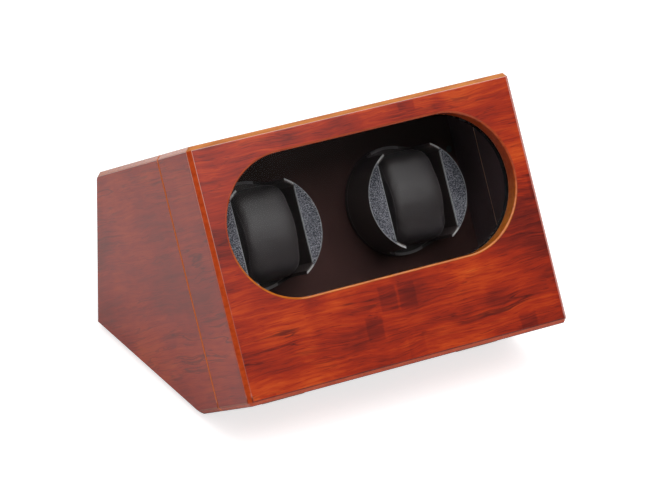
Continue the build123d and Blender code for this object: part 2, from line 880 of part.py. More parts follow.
def rounded_block(width, height, corner, z_range):
    shape = extrude(RectangleRounded(width, height, corner), amount=z_range[1] - z_range[0])
    return Pos(0, 0, z_range[0]) * shape


def back_pocket():
    """The shallow pocket for the control plate, with a smaller opening right through."""
    pocket = rounded_block(pocket_width, pocket_height, pocket_corner, (-pocket_depth, wall))
    opening = rounded_block(opening_width, opening_height, pocket_corner, (-2 * wall, 0))
    cuts = pocket + opening
    for cut in control_screws(as_holes=True):
        cuts = cuts + cut
    return controls * cuts


def control_screw_places():
    x = pocket_width / 2 - control_screw_inset
    y = pocket_height / 2 - control_screw_inset
    return [(a * x, b * y) for a in (-1, 1) for b in (-1, 1)]


def control_screws(as_holes=False):
    maker = flat_screw_hole if as_holes else flat_screw
    screw = maker(small_screw_radius, small_head_radius, small_head_height, control_screw_length)
    return [Pos(x, y, plate_outer) * screw for x, y in control_screw_places()]


def rocker():
    """The rocker of the power switch, tipped to its off side, about its pivot."""
    half = rocker_length / 2
    dip = half * tan(radians(rocker_tilt))
    raised = rocker_rise + dip
    side_view = [(-half, -dip), (-half, raised), (0, rocker_rise), (half, raised), (half, -dip)]
    face = make_face(Polyline(*[(x, -rocker_width / 2, z) for x, z in side_view], close=True))
    body = Rot(0, rocker_tilt, 0) * extrude(face, amount=rocker_width, dir=(0, 1, 0))
    return body + rocker_pivot(0)


def rocker_pivot(room):
    """The rocker's pivot, whose ends turn in the frame's sides, or the bore for it with some room."""
    length = rocker_width + 2 * (rocker_room + rocker_pivot_bite + room)
    return Rot(90, 0, 0) * Cylinder(rocker_pivot_radius + room, length)


def rocker_swing():
    """The room that the rocker needs inside its frame."""
    return (rocker_length + 2 * rocker_room, rocker_width + 2 * rocker_room)


def selector_slot():
    width = selector_travel + selector_knob + 2 * selector_room
    return (width, selector_slot_height)


def make_controls():
    z_plate = (-pocket_depth, plate_outer)
    body_back = -pocket_depth - switch_body_depth
    plate_size = (pocket_width - 2 * plate_fit, pocket_height - 2 * plate_fit)
    plate = rounded_block(*plate_size, pocket_corner, z_plate)
    frame_size = (rocker_frame_length, rocker_swing()[1] + 2 * rocker_bezel)
    plate_middle = sum(z_plate) / 2
    plate = plate - Pos(rocker_place, 0, plate_middle) * Box(*frame_size, control_plate_thickness)
    plate = plate - Pos(jack_place, 0, plate_middle) * Cylinder(jack_radius, control_plate_thickness)
    for x in selector_places:
        plate = plate - Pos(x, 0, plate_middle) * Box(*selector_slot(), control_plate_thickness)
    for cut in control_screws(as_holes=True):
        plate = plate - cut
    save("control_plate", controls * plate)
    save("control_plate_screws", Compound(children=[controls * screw for screw in control_screws()]))
    save("power_switch_body", controls * power_switch_body(frame_size, body_back))
    save("power_rocker", controls * Pos(rocker_place, 0, plate_outer) * rocker())
    save("power_jack", controls * power_jack())
    bodies = [controls * selector_body(x, body_back) for x in selector_places]
    save("mode_switch_bodies", Compound(children=bodies))
    # Seen from behind, the selector on the right belongs to the left turntable.
    for name, x in zip(("right", "left"), selector_places):
        save(f"{name}_mode_slider", controls * mode_slider(x))
    save("control_board", controls * control_board(body_back))


def power_switch_body(frame_size, body_back):
    """The switch's frame, open to the back of the winder where the rocker moves."""
    room = rocker_swing()
    top = plate_outer + bezel_rise
    outer_height = top - body_back
    body = Pos(rocker_place, 0, (top + body_back) / 2) * Box(*frame_size, outer_height)
    depth = rocker_length / 2 * sin(radians(2 * rocker_tilt)) + rocker_room + rocker_rise
    hollow_height = bezel_rise + depth
    hollow = Pos(rocker_place, 0, top - hollow_height / 2) * Box(*room, hollow_height)
    return body - hollow - Pos(rocker_place, 0, plate_outer) * rocker_pivot(running_fit)


def power_jack():
    """The power socket: a barrel behind a thin flange, with a centre pin."""
    flange = Pos(0, 0, plate_outer + jack_flange / 2) * Cylinder(jack_flange_radius, jack_flange)
    low = -pocket_depth - switch_body_depth
    length = plate_outer - low
    barrel = Pos(0, 0, low + length / 2) * Cylinder(jack_radius, length)
    top = plate_outer + jack_flange
    bore = Pos(0, 0, top - jack_depth / 2) * Cylinder(jack_bore, jack_depth)
    pin_length = jack_depth - jack_pin_recess
    pin = Pos(0, 0, top - jack_depth + pin_length / 2) * Cylinder(jack_pin_radius, pin_length)
    return Pos(jack_place, 0, 0) * (flange + barrel - bore + pin)


def selector_body(x, body_back):
    """The selector's box behind the plate, with a channel for its slider."""
    depth = -pocket_depth - body_back
    body = Pos(x, 0, body_back + depth / 2) * Box(selector_body_length, selector_body_height, depth)
    channel = selector_slot()
    cut_depth = selector_knob + running_fit
    cut = Pos(x, 0, -pocket_depth - cut_depth / 2) * Box(*channel, cut_depth)
    return body - cut


def mode_slider(x):
    """The selector's knob at one end of its travel."""
    low = -pocket_depth - selector_knob
    top = plate_outer + selector_knob_rise
    height = top - low
    start = x - selector_travel / 2
    width = selector_slot_height - 2 * running_fit
    return Pos(start, 0, (low + top) / 2) * Box(selector_knob, width, height)


def connector_places():
    place = opening_width / 2 - board_end_gap - connector_inset
    return [-place, place]


def control_board(body_back):
    """The board that the switches and the jack are soldered to, with a socket for each lead."""
    board_size = (opening_width - 2 * board_end_gap, opening_height - 2 * board_side_gap)
    board_body = Pos(0, 0, body_back - board_thickness / 2) * Box(*board_size, board_thickness)
    for x in connector_places():
        middle = body_back - board_thickness - connector_size / 2
        board_body = board_body + Pos(x, 0, middle) * Box(connector_size, connector_size, connector_size)
    return board_body


def lead(side):
    """One motor lead, from the end of the motor to its socket on the board."""
    motor_end = motor_plate_back + gearbox_length + motor_length + motor_cap
    start = stand * Pos(side * turntable_spread, gearbox_rise, -motor_end)
    begin = start.position
    after = begin - outward * lead_straight
    socket_depth = pocket_depth + switch_body_depth + board_thickness + connector_size
    socket = connector_places()[1]
    end = Vector(side * socket, back_face - socket_depth, foot_height + control_rise)
    before = end - Vector(0, lead_straight, 0)
    middle = (after + before) * 0.5 - Vector(0, 0, lead_sag)
    points = [begin, after, middle, before, end]
    radii = []
    for index in range(1, len(points) - 1):
        run_in = points[index] - points[index - 1]
        run_out = points[index + 1] - points[index]
        turn = radians(run_in.get_angle(run_out))
        radii.append(lead_rounding * min(run_in.length, run_out.length) / tan(turn / 2))
    path = FilletPolyline(*points, radius=radii)
    print("lead arc radii", [round(radius, 1) for radius in radii], "path", round(path.length, 1))
    section = Plane(origin=begin, z_dir=points[1] - points[0]) * Circle(lead_radius)
    tube = sweep(section, path=path)
    print("lead volume ratio", round(tube.volume / (pi * lead_radius ** 2 * path.length), 4))
    return tube


def make_leads():
    save("motor_leads", Compound(children=[lead(side) for side in sides.values()]))


def make_feet():
    """Four round pads under the base panel."""
    feet = []
    front_y = back_face - base_length + foot_inset
    back_y = back_face - foot_inset
    for x in (-case_width / 2 + foot_inset, case_width / 2 - foot_inset):
        for y in (front_y, back_y):
            feet.append(Pos(x, y, foot_height / 2) * Cylinder(foot_radius, foot_height))
    save("feet", Compound(children=feet))


make_case_shell()
make_lid_shell()
make_window()
make_linings()
make_deck()
make_fasteners()
make_hinges()
make_turntables()
make_bushes()
make_controls()
make_leads()
make_feet()
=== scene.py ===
import math

import bmesh
import bpy
import numpy as np
from mathutils import Matrix, Vector
from mathutils.bvhtree import BVHTree


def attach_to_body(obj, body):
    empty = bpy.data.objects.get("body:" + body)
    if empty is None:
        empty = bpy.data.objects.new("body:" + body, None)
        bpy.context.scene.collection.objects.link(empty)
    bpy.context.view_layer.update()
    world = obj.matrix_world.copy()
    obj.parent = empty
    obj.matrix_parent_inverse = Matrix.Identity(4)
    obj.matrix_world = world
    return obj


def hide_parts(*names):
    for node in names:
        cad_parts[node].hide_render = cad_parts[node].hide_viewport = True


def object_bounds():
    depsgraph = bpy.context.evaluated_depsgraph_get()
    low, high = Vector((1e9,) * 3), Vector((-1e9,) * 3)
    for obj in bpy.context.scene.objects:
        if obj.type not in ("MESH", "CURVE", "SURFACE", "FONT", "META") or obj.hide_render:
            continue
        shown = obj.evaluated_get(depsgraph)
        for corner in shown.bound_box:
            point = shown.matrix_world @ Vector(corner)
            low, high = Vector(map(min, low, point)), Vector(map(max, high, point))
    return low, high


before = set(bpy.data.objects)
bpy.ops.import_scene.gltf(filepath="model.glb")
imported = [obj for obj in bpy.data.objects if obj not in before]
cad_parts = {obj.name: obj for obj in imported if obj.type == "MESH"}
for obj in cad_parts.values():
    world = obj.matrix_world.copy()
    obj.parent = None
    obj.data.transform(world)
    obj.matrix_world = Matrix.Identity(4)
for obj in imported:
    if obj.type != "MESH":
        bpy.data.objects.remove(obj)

cadLow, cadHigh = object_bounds()
print("stage: frame loaded,", len(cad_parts), "nodes")

# The case's own sizes in metres, for what follows its outer faces.
caseSizes = {
    "width": 0.310,
    "frontHeight": 0.218,
    "topDepth": 0.188,
    "lowerDepth": 0.101,
    "lean": math.radians(30),
    "chamfer": 0.0036,
    "foot": 0.002,
    "wall": 0.012,
    "seamDepth": 0.060,
    "turntableDrop": 0.0025,
    "windowTopMargin": 0.021,
    "windowHeight": 0.121,
    "windowLength": 0.274,
    "cupFaceDepth": 0.054,
    "cupRadius": 0.0472,
    "notchDepth": 0.040,
}


# The front's own axes: x the width, y up the front from its centre, z out of it. Returns its centre, its
# up and outward directions, how far back the back face lies, and the matrix that stands a piece on it.
def tiltedFrame():
    size = caseSizes
    sine = math.sin(size["lean"])
    cosine = math.cos(size["lean"])
    half = size["frontHeight"] / 2
    baseLength = (size["topDepth"] - size["lowerDepth"]) * cosine + size["frontHeight"] * sine
    reach = baseLength + size["lowerDepth"] * cosine
    backFace = (reach - size["chamfer"] * sine) / 2
    centre = Vector((
        0.0,
        backFace - reach + half * sine,
        size["foot"] + size["lowerDepth"] * sine + half * cosine,
    ))
    up = Vector((0.0, sine, cosine))
    outward = Vector((0.0, -cosine, sine))
    axes = Matrix(((1, 0, 0), up, outward)).transposed().to_4x4()
    return centre, up, outward, backFace, Matrix.Translation(centre) @ axes


frontCentre, faceUp, faceOut, backFace, standMatrix = tiltedFrame()
# How far the centre of the front lies along its up and outward directions.
frontRise = frontCentre.dot(faceUp)
frontReach = frontCentre.dot(faceOut)
halfFront = caseSizes["frontHeight"] / 2
turntableSpread = (caseSizes["width"] - 2 * caseSizes["wall"]) / 4
turntableRise = (
    halfFront - caseSizes["windowTopMargin"] - caseSizes["windowHeight"] / 2 - caseSizes["turntableDrop"]
)
sides = {"left": -1, "right": 1}


# Adds one shader node, sets its options, and sets or links its inputs.
def addNode(tree, kind, values=None, **settings):
    made = tree.nodes.new("ShaderNode" + kind)
    for key, value in settings.items():
        setattr(made, key, value)
    for key, value in (values or {}).items():
        if isinstance(value, bpy.types.NodeSocket):
            tree.links.new(value, made.inputs[key])
        else:
            made.inputs[key].default_value = value
    return made


def calculate(tree, operation, first, second=0.0):
    return addNode(tree, "Math", {0: first, 1: second}, operation=operation).outputs[0]


# Mixes two numbers by a factor.
def blendNumber(tree, factor, first, second):
    return addNode(tree, "Mix", {0: factor, 2: first, 3: second}, data_type="FLOAT").outputs[0]


# Mixes two colours by a factor. A plain colour has three numbers, and is opaque.
def blendColour(tree, factor, first, second, mode="MIX"):
    first, second = [(*side, 1.0) if isinstance(side, tuple) else side for side in (first, second)]
    values = {0: factor, 6: first, 7: second}
    return addNode(tree, "Mix", values, data_type="RGBA", blend_type=mode).outputs[2]


# Maps a range of values smoothly on to another, and holds it beyond both ends.
def stretch(tree, value, low, high, lowest=0.0, highest=1.0):
    values = {"Value": value, "From Min": low, "From Max": high, "To Min": lowest, "To Max": highest}
    return addNode(tree, "MapRange", values, interpolation_type="SMOOTHSTEP").outputs[0]


# A colour ramp from a list of (position, colour).
def colourRamp(tree, factor, stops):
    made = addNode(tree, "ValToRGB", {0: factor})
    elements = made.color_ramp.elements
    while len(elements) < len(stops):
        elements.new(0.5)
    for element, (position, colour) in zip(elements, stops):
        element.position = position
        element.color = (*colour, 1.0)
    return made.outputs[0]


def noise(tree, vector, scale=1.0, detail=2.0, roughness=0.5, distortion=0.0):
    values = {
        "Vector": vector, "Scale": scale, "Detail": detail, "Roughness": roughness,
        "Distortion": distortion,
    }
    return addNode(tree, "TexNoise", values).outputs["Fac"]


def mapped(tree, vector, scale=(1, 1, 1), rotation=(0, 0, 0), shift=(0, 0, 0)):
    values = {"Vector": vector, "Scale": scale, "Rotation": rotation, "Location": shift}
    return addNode(tree, "Mapping", values).outputs[0]


def bumped(tree, height, strength, distance):
    values = {"Height": height, "Strength": strength, "Distance": distance}
    return addNode(tree, "Bump", values).outputs[0]


# A vector's three numbers, by the names X, Y and Z.
def partsOf(tree, vector):
    return addNode(tree, "SeparateXYZ", {0: vector}).outputs


# How far a vector reaches along a direction.
def reachAlong(tree, vector, direction):
    values = {0: vector, 1: tuple(direction)}
    return addNode(tree, "VectorMath", values, operation="DOT_PRODUCT").outputs["Value"]


# The straight distance across two distances that stand square to each other.
def distanceAcross(tree, first, second):
    squares = [calculate(tree, "MULTIPLY", side, side) for side in (first, second)]
    return calculate(tree, "SQRT", calculate(tree, "ADD", *squares))


# A place on the front's own axes: X the width, Y up the front, Z out of it.
def onFrontAxes(tree, place):
    return mapped(tree, place, rotation=(caseSizes["lean"] - math.pi / 2, 0, 0))


# A new node group, from its inputs and outputs as {name: kind}, with both ends' sockets.
def newGroup(name, inputs, outputs):
    group = bpy.data.node_groups.new(name, "ShaderNodeTree")
    for direction, sockets in (("INPUT", inputs), ("OUTPUT", outputs)):
        for label, kind in sockets.items():
            group.interface.new_socket(label, in_out=direction, socket_type="NodeSocket" + kind)
    start = group.nodes.new("NodeGroupInput").outputs
    end = group.nodes.new("NodeGroupOutput").inputs
    return group, start, end


# A material with one Principled shader, whose plain settings are set on its own sockets.
def newMaterial(name, settings):
    material = bpy.data.materials.new(name)
    material.use_nodes = True
    tree = material.node_tree
    tree.nodes.clear()
    shader = addNode(tree, "BsdfPrincipled", settings)
    addNode(tree, "OutputMaterial", {"Surface": shader.outputs[0]})
    place = addNode(tree, "TexCoord").outputs["Object"]
    return material, tree, shader, place


# Links what a pattern gives to the shader.
def attach(tree, shader, colour=None, normal=None, roughness=None, coatNormal=None):
    for socket, value in (
        ("Base Color", colour), ("Normal", normal), ("Roughness", roughness), ("Coat Normal", coatNormal),
    ):
        if value is not None:
            tree.links.new(value, shader.inputs[socket])


# Gives CAD nodes a material in every slot.
def paint(material, names):
    for name in names:
        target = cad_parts[name]
        if not target.material_slots:
            target.data.materials.append(material)
        for slot in target.material_slots:
            slot.material = material


# The case's seven outer planes, each as an inward direction and an offset.
def casePlanes():
    size = caseSizes
    return [
        (Vector((1, 0, 0)), size["width"] / 2),
        (Vector((-1, 0, 0)), size["width"] / 2),
        (-faceOut, frontReach),
        (-faceUp, halfFront + frontRise),
        (faceUp, halfFront - frontRise),
        (Vector((0, -1, 0)), backFace),
        (Vector((0, 0, 1)), -size["foot"]),
    ]


# A node group that gives how deep a point lies under the nearest outer plane and under the next one.
def makeEdgeGroup():
    outputs = {"Nearest": "Float", "Next": "Float"}
    group, start, end = newGroup("edgeDistance", {"Place": "Vector"}, outputs)
    nearest = following = 1.0    # metres, further than any plane
    for direction, offset in casePlanes():
        depth = calculate(group, "ADD", reachAlong(group, start["Place"], direction), offset)
        following = calculate(group, "MINIMUM", following, calculate(group, "MAXIMUM", nearest, depth))
        nearest = calculate(group, "MINIMUM", nearest, depth)
    group.links.new(nearest, end["Nearest"])
    group.links.new(following, end["Next"])


# The figure's tones from dark to light, and its patterns with x along the grain.
figureLook = {
    "darkBrown": (0.125, 0.013, 0.009),
    "maroon": (0.225, 0.019, 0.010),
    "red": (0.385, 0.029, 0.0095),
    "orange": (0.540, 0.057, 0.011),
    "bright": (0.670, 0.108, 0.017),
    "vein": (0.060, 0.010, 0.009),
    # Scale and reach in metres: the grain line wanders by millimetres, and trembles by tenths.
    "drifts": (((12, 22, 22), 0.013), ((48, 120, 120), 0.0018)),
    # Scale, detail, roughness and share of the tone.
    "layers": (
        ((5, 7, 7), 1.0, 0.5, 0.35),            # broad drift from dark to light
        ((10, 21, 21), 3.0, 0.55, 0.85),        # clouds
        ((15, 260, 260), 4.0, 0.60, 0.40),      # streaks
        ((32, 640, 640), 2.0, 0.50, 0.20),      # fine lines
        ((90, 1500, 1500), 1.0, 0.50, 0.10),    # fibres
    ),
    # Size in metres, turn, the two chances between which the tone steps, and the step at each.
    "leaves": (
        ((0.079, 0.113, 0.113), 0.02, 0.0, 1.0, 0.06, -0.06),        # large leaves differ a little
        ((0.018, 0.023, 0.023), 0.04, 0.942, 0.955, 0.0, -0.09),     # a few small squares are darker
    ),
    "leafTremble": 0.60,             # how far the squares' edges follow the grain's wandering
    "leafEdge": (0.38, 0.50),        # from its middle, where a square begins to fade and where it ends
    "pores": ((60, 1000, 1000), 0.62, 0.72, 0.11),    # scale, levels, depth
    # Scale, shift, width, the level where it begins to show, and strength.
    "veins": (
        ((5, 95, 95), (3.1, 1.7, 0.4), 0.024, 0.50, 0.72),
        ((4, 180, 180), (1.3, 4.2, 2.4), 0.034, 0.44, 0.42),
    ),
    "veinPlaces": ((11, 26, 26), (7.3, 2.2, 5.1), 0.12),    # scale, shift, softness
}


# One cell in a pattern of squares takes one step of tone by chance, and fades out at its edges.
def leafStep(group, place, leaf):
    size, turn, low, high, lightest, darkest = leaf
    scaled = mapped(group, place, [1 / length for length in size], rotation=(0, 0, turn))
    cell = addNode(group, "VectorMath", {0: scaled}, operation="FLOOR").outputs[0]
    chance = addNode(group, "TexWhiteNoise", {"Vector": cell}).outputs["Value"]
    within = addNode(group, "VectorMath", {0: scaled}, operation="FRACTION").outputs[0]
    within = partsOf(group, within)
    step = stretch(group, chance, low, high, lightest, darkest)
    for axis in ("X", "Y"):
        fromMiddle = calculate(group, "ABSOLUTE", calculate(group, "SUBTRACT", within[axis], 0.5))
        fading = stretch(group, fromMiddle, *figureLook["leafEdge"], 1.0, 0.0)
        step = calculate(group, "MULTIPLY", step, fading)
    return step


# The veneer's colour at a place in metres, with x along the grain: clouds of tone, wavy streaks,
# short pores, squares cut from darker leaves, and thin dark veins.
def makeFigureGroup():
    look = figureLook
    inputs = {"Place": "Vector", "Contrast": "Float", "Squares": "Float"}
    group, start, end = newGroup("veneerFigure", inputs, {"Colour": "Color"})
    place = start["Place"]
    bent = place
    for scale, reach in look["drifts"]:
        values = {"Vector": mapped(group, place, scale), "Scale": 1.0, "Detail": 2.0}
        drift = addNode(group, "TexNoise", values).outputs["Color"]
        centred = addNode(group, "VectorMath", {0: drift, 1: (0.5, 0.5, 0.5)}, operation="SUBTRACT")
        swing = addNode(group, "VectorMath", {0: centred.outputs[0], "Scale": reach}, operation="SCALE")
        bent = addNode(group, "VectorMath", {0: bent, 1: swing.outputs[0]}, operation="ADD").outputs[0]
    tone = 0.5
    for scale, detail, roughness, share in look["layers"]:
        part = noise(group, mapped(group, bent, scale), detail=detail, roughness=roughness)
        part = calculate(group, "MULTIPLY", calculate(group, "SUBTRACT", part, 0.5), share)
        tone = calculate(group, "ADD", part, tone)
    for leaf in look["leaves"]:
        trembling = blendColour(group, look["leafTremble"], place, bent)
        step = calculate(group, "MULTIPLY", leafStep(group, trembling, leaf), start["Squares"])
        tone = calculate(group, "ADD", tone, step)
    scale, low, high, depth = look["pores"]
    pores = noise(group, mapped(group, bent, scale), detail=1.0)
    tone = calculate(group, "SUBTRACT", tone, stretch(group, pores, low, high, 0.0, depth))
    # The contrast stretches the tone about its middle.
    tone = calculate(group, "MULTIPLY", calculate(group, "SUBTRACT", tone, 0.5), start["Contrast"])
    tone = calculate(group, "ADD", tone, 0.5)
    colour = colourRamp(group, tone, [
        (0.24, look["darkBrown"]), (0.38, look["maroon"]), (0.51, look["red"]),
        (0.64, look["orange"]), (0.78, look["bright"]),
    ])
    # A vein follows one level of a stretched noise, where a second noise lets it show.
    placeScale, placeShift, softness = look["veinPlaces"]
    for scale, shift, width, lowest, strength in look["veins"]:
        levels = noise(group, mapped(group, bent, scale, shift=shift), detail=2.5, roughness=0.55)
        nearness = calculate(group, "ABSOLUTE", calculate(group, "SUBTRACT", levels, 0.5))
        lines = stretch(group, nearness, 0.0, width, 1.0, 0.0)
        ownShift = (placeShift[0] + shift[0], *placeShift[1:])
        places = noise(group, mapped(group, bent, placeScale, shift=ownShift))
        veins = calculate(group, "MULTIPLY", lines, stretch(group, places, lowest, lowest + softness))
        colour = blendColour(group, calculate(group, "MULTIPLY", veins, strength), colour, look["vein"])
    group.links.new(colour, end["Colour"])


veneerLook = {
    "lacquer": {
        "Roughness": 0.40, "Coat Weight": 1.0, "Coat Roughness": 0.08, "Coat IOR": 1.42,
        "Specular IOR Level": 0.05,
    },
    "front": {"shift": (0.0, 0.0, 0.0), "contrast": 1.0, "squares": 1.0},
    "side": {"shift": (0.37, 0.0, 0.21), "contrast": 0.80, "squares": 0.3},
    "sidePaling": 0.18,                     # share of plain orange in the sides' figure
    "sideTint": (0.90, 0.78, 0.78),
    "raw": (1.000, 0.600, 0.400),           # bare wood inside
    "seam": (0.780, 0.185, 0.045),
    "seamHalf": 0.0014,
    "edgeDeep": (0.600, 0.074, 0.012),      # cut edges that face sideways or down, painted darker as shade
    "edgeLight": (0.700, 0.230, 0.040),     # cut edges that face up, painted lighter as light from above
    "edgeTurn": (0.42, 0.86),               # upward part of the normal, between those two painted tones
    "edgeGrain": (60, 260, 260),
    "edgeShade": (0.72, 0.60, 0.55),        # tint of the dark grain on cut edges
    "rim": (0.630, 0.170, 0.012),           # the window's rim along the bottom, painted lighter as light from above
    "rimDeep": (0.420, 0.060, 0.014),       # and along the top, painted darker as shade
    "rimSpan": (-0.7, 0.1),                 # between which heights, in radii above the window's middle, the rim turns from painted light to painted shade
    "rimWidth": 0.0004,                     # how far the rim's colour runs on to the front
    "rimRounding": 0.0014,
    "wearAndPaintedHighlight": (0.860, 0.580, 0.500),          # a painted highlight: the pale line along the sharp edges
    "paintedHighlightWidth": 0.0003,
    "paintedHighlightReach": 0.006,                     # only points this near a second outer plane get the painted highlight
    "paintedHighlightRise": (0.07, 0.19),               # heights on the front between which the painted highlight grows
    "paintedHighlightShare": (0.15, 0.75),              # and how strong it is at each
    "darkLine": (0.080, 0.010, 0.008),      # the line along the low edges of the front
    "sideLine": (0.480, 0.130, 0.045),      # and of the sides, orange: a painted highlight
    "darkWidth": 0.0009,
    "darkShare": 0.8,
    "lowRise": (0.006, 0.012),              # up the front, where the low line ends
    "lowHeight": (0.008, 0.014),            # above the floor, where it ends
    "roundingWidth": 0.0007,
    "roundingDepth": 0.00016,
    "faceSlack": 0.00004,                   # a point this near an outer plane lies on its face
    "insideSlack": 0.0001,
}


# One inside the window's outline and on its rim and nought elsewhere, then how low on the rim a point
# lies, from nought half way up to one near the bottom, which sets the rim's painted light. The outline
# keeps one radius from the straight stretch between the centres of the two round ends.
def windowPlace(tree, parts):
    size = caseSizes
    look = veneerLook
    radius = size["windowHeight"] / 2
    straight = size["windowLength"] / 2 - radius
    middle = frontRise + halfFront - size["windowTopMargin"] - radius
    along = calculate(tree, "SUBTRACT", calculate(tree, "ABSOLUTE", parts["X"]), straight)
    along = calculate(tree, "MAXIMUM", along, 0.0)
    rise = calculate(tree, "SUBTRACT", parts["Y"], middle)
    reach = radius + look["rimRounding"] + look["rimWidth"]
    within = calculate(tree, "LESS_THAN", distanceAcross(tree, along, rise), reach)
    atFront = calculate(tree, "GREATER_THAN", parts["Z"], frontReach - size["wall"])
    low, high = [radius * share for share in look["rimSpan"]]
    return calculate(tree, "MULTIPLY", within, atFront), stretch(tree, rise, low, high, 1.0, 0.0)


# The veneer's figure. The grain runs along the width, and on the two sides square to the front.
def faceColour(tree, across, parts, onSide):
    look = veneerLook
    sideways = addNode(tree, "CombineXYZ", {0: parts["Z"], 1: parts["Y"], 2: parts["X"]}).outputs[0]
    figures = []
    for place, face in ((across, look["front"]), (sideways, look["side"])):
        values = {
            "Place": mapped(tree, place, shift=face["shift"]),
            "Contrast": face["contrast"],
            "Squares": face["squares"],
        }
        made = addNode(tree, "Group", values, node_tree=bpy.data.node_groups["veneerFigure"])
        figures.append(made.outputs["Colour"])
    paler = blendColour(tree, look["sidePaling"], figures[1], figureLook["orange"])
    paler = blendColour(tree, 1.0, paler, look["sideTint"], "MULTIPLY")
    return blendColour(tree, onSide, figures[0], paler)


# The colour of chamfers and cut edges, with their own tone on the window's rim, in the seam and inside.
# Painted light: edges that face up are lighter, those that face sideways or down darker, and the rim is
# lighter low down.
def edgeColour(tree, place, parts, nearest, inWindow, lowOnRim):
    look = veneerLook
    normal = addNode(tree, "NewGeometry").outputs["True Normal"]
    # Painted light: edges that face up are lighter, the others darker.
    upward = stretch(tree, partsOf(tree, normal)["Z"], *look["edgeTurn"])
    colour = blendColour(tree, upward, look["edgeDeep"], look["edgeLight"])
    # Painted light on the rim: lighter low down, darker at the top.
    rim = blendColour(tree, lowOnRim, look["rimDeep"], look["rim"])
    colour = blendColour(tree, inWindow, colour, rim)
    grain = noise(tree, mapped(tree, place, look["edgeGrain"]), detail=3.0, roughness=0.6)
    shade = colourRamp(tree, grain, [(0.30, look["edgeShade"]), (0.62, (1.0, 1.0, 1.0))])
    colour = blendColour(tree, 1.0, colour, shade, "MULTIPLY")
    fromSeam = calculate(tree, "SUBTRACT", parts["Z"], frontReach - caseSizes["seamDepth"])
    inSeam = calculate(tree, "LESS_THAN", calculate(tree, "ABSOLUTE", fromSeam), look["seamHalf"])
    colour = blendColour(tree, inSeam, colour, look["seam"])
    inside = calculate(tree, "GREATER_THAN", nearest, caseSizes["wall"] - look["insideSlack"])
    return blendColour(tree, inside, colour, look["raw"])


# The colour of the line along the sharp edges and its strength: a pale painted highlight, and low on the
# case a line that is dark on the front and an orange painted highlight on the sides.
def edgeLine(tree, place, parts, following, gap, onSide):
    look = veneerLook
    rise = calculate(tree, "ADD", parts["Y"], halfFront - frontRise)
    aboveFront = stretch(tree, rise, *look["lowRise"])
    aboveFloor = stretch(tree, partsOf(tree, place)["Z"], *look["lowHeight"])
    upper = calculate(tree, "MULTIPLY", aboveFront, aboveFloor)
    lowLine = blendColour(tree, onSide, look["darkLine"], look["sideLine"])
    line = blendColour(tree, upper, lowLine, look["wearAndPaintedHighlight"])
    # A painted highlight along the sharp edges, strongest high on the front.
    wearAndPaintedHighlight = stretch(tree, gap, 0.0, look["paintedHighlightWidth"], 1.0, 0.0)
    growing = stretch(tree, rise, *look["paintedHighlightRise"], *look["paintedHighlightShare"])
    wearAndPaintedHighlight = calculate(tree, "MULTIPLY", wearAndPaintedHighlight, growing)
    wearAndPaintedHighlight = calculate(tree, "MULTIPLY", wearAndPaintedHighlight, calculate(tree, "LESS_THAN", following, look["paintedHighlightReach"]))
    # The line along the low edges: dark on the front, and a painted highlight on the sides.
    grime = stretch(tree, gap, 0.0, look["darkWidth"], look["darkShare"], 0.0)
    return line, blendNumber(tree, upper, grime, wearAndPaintedHighlight)


# Lacquered veneer, with lighter chamfers and cut edges, for every board of the case.
def makeVeneer():
    look = veneerLook
    material, tree, shader, place = newMaterial("veneer", look["lacquer"])
    depths = addNode(tree, "Group", {"Place": place}, node_tree=bpy.data.node_groups["edgeDistance"])
    nearest = depths.outputs["Nearest"]
    following = depths.outputs["Next"]
    across = onFrontAxes(tree, place)
    parts = partsOf(tree, across)
    inWindow, lowOnRim = windowPlace(tree, parts)
    offFace = calculate(tree, "GREATER_THAN", nearest, look["faceSlack"])
    onEdge = calculate(tree, "MAXIMUM", offFace, inWindow)
    spread = calculate(tree, "ABSOLUTE", parts["X"])
    onSide = calculate(tree, "GREATER_THAN", spread, caseSizes["width"] / 2 - look["faceSlack"])
    figure = faceColour(tree, across, parts, onSide)
    cut = edgeColour(tree, place, parts, nearest, inWindow, lowOnRim)
    colour = blendColour(tree, onEdge, figure, cut)
    # How far a point lies from the nearest sharp edge, on a flat face and on a chamfer.
    flatGap = calculate(tree, "ABSOLUTE", calculate(tree, "SUBTRACT", following, caseSizes["chamfer"]))
    gap = blendNumber(tree, onEdge, flatGap, nearest)
    line, strength = edgeLine(tree, place, parts, following, gap, onSide)
    colour = blendColour(tree, strength, colour, line)
    rounding = stretch(tree, gap, 0.0, look["roundingWidth"], -look["roundingDepth"], 0.0)
    normal = bumped(tree, rounding, 1.0, 1.0)
    attach(tree, shader, colour=colour, normal=normal, coatNormal=normal)
    return material


# How far a point lies sideways from its turntable's axis, how far from it in all, and how deep it lies
# behind the front.
def turntablePlace(tree, place):
    parts = partsOf(tree, onFrontAxes(tree, place))
    sideways = calculate(tree, "ABSOLUTE", parts["X"])
    sideways = calculate(tree, "ABSOLUTE", calculate(tree, "SUBTRACT", sideways, turntableSpread))
    rise = calculate(tree, "SUBTRACT", parts["Y"], frontRise + turntableRise)
    depth = calculate(tree, "SUBTRACT", frontReach, parts["Z"])
    return sideways, distanceAcross(tree, sideways, rise), depth


suedeLook = {
    "nap": {
        "Roughness": 0.95, "Specular IOR Level": 0.15, "Sheen Weight": 0.25, "Sheen Roughness": 0.5,
        "Sheen Tint": (0.75, 0.80, 0.95, 1.0),
    },
    "dark": (0.018, 0.020, 0.027),
    "mid": (0.078, 0.080, 0.096),
    "light": (0.310, 0.305, 0.345),
    # a painted highlight along the cut edges
    "edge": (0.44, 0.44, 0.45),
    "grain": 1250.0,
    "clouds": 45.0,
    "cloudShare": 0.22,
    "slotHalf": 0.0305,
    "edgeWidth": 0.0008,
}


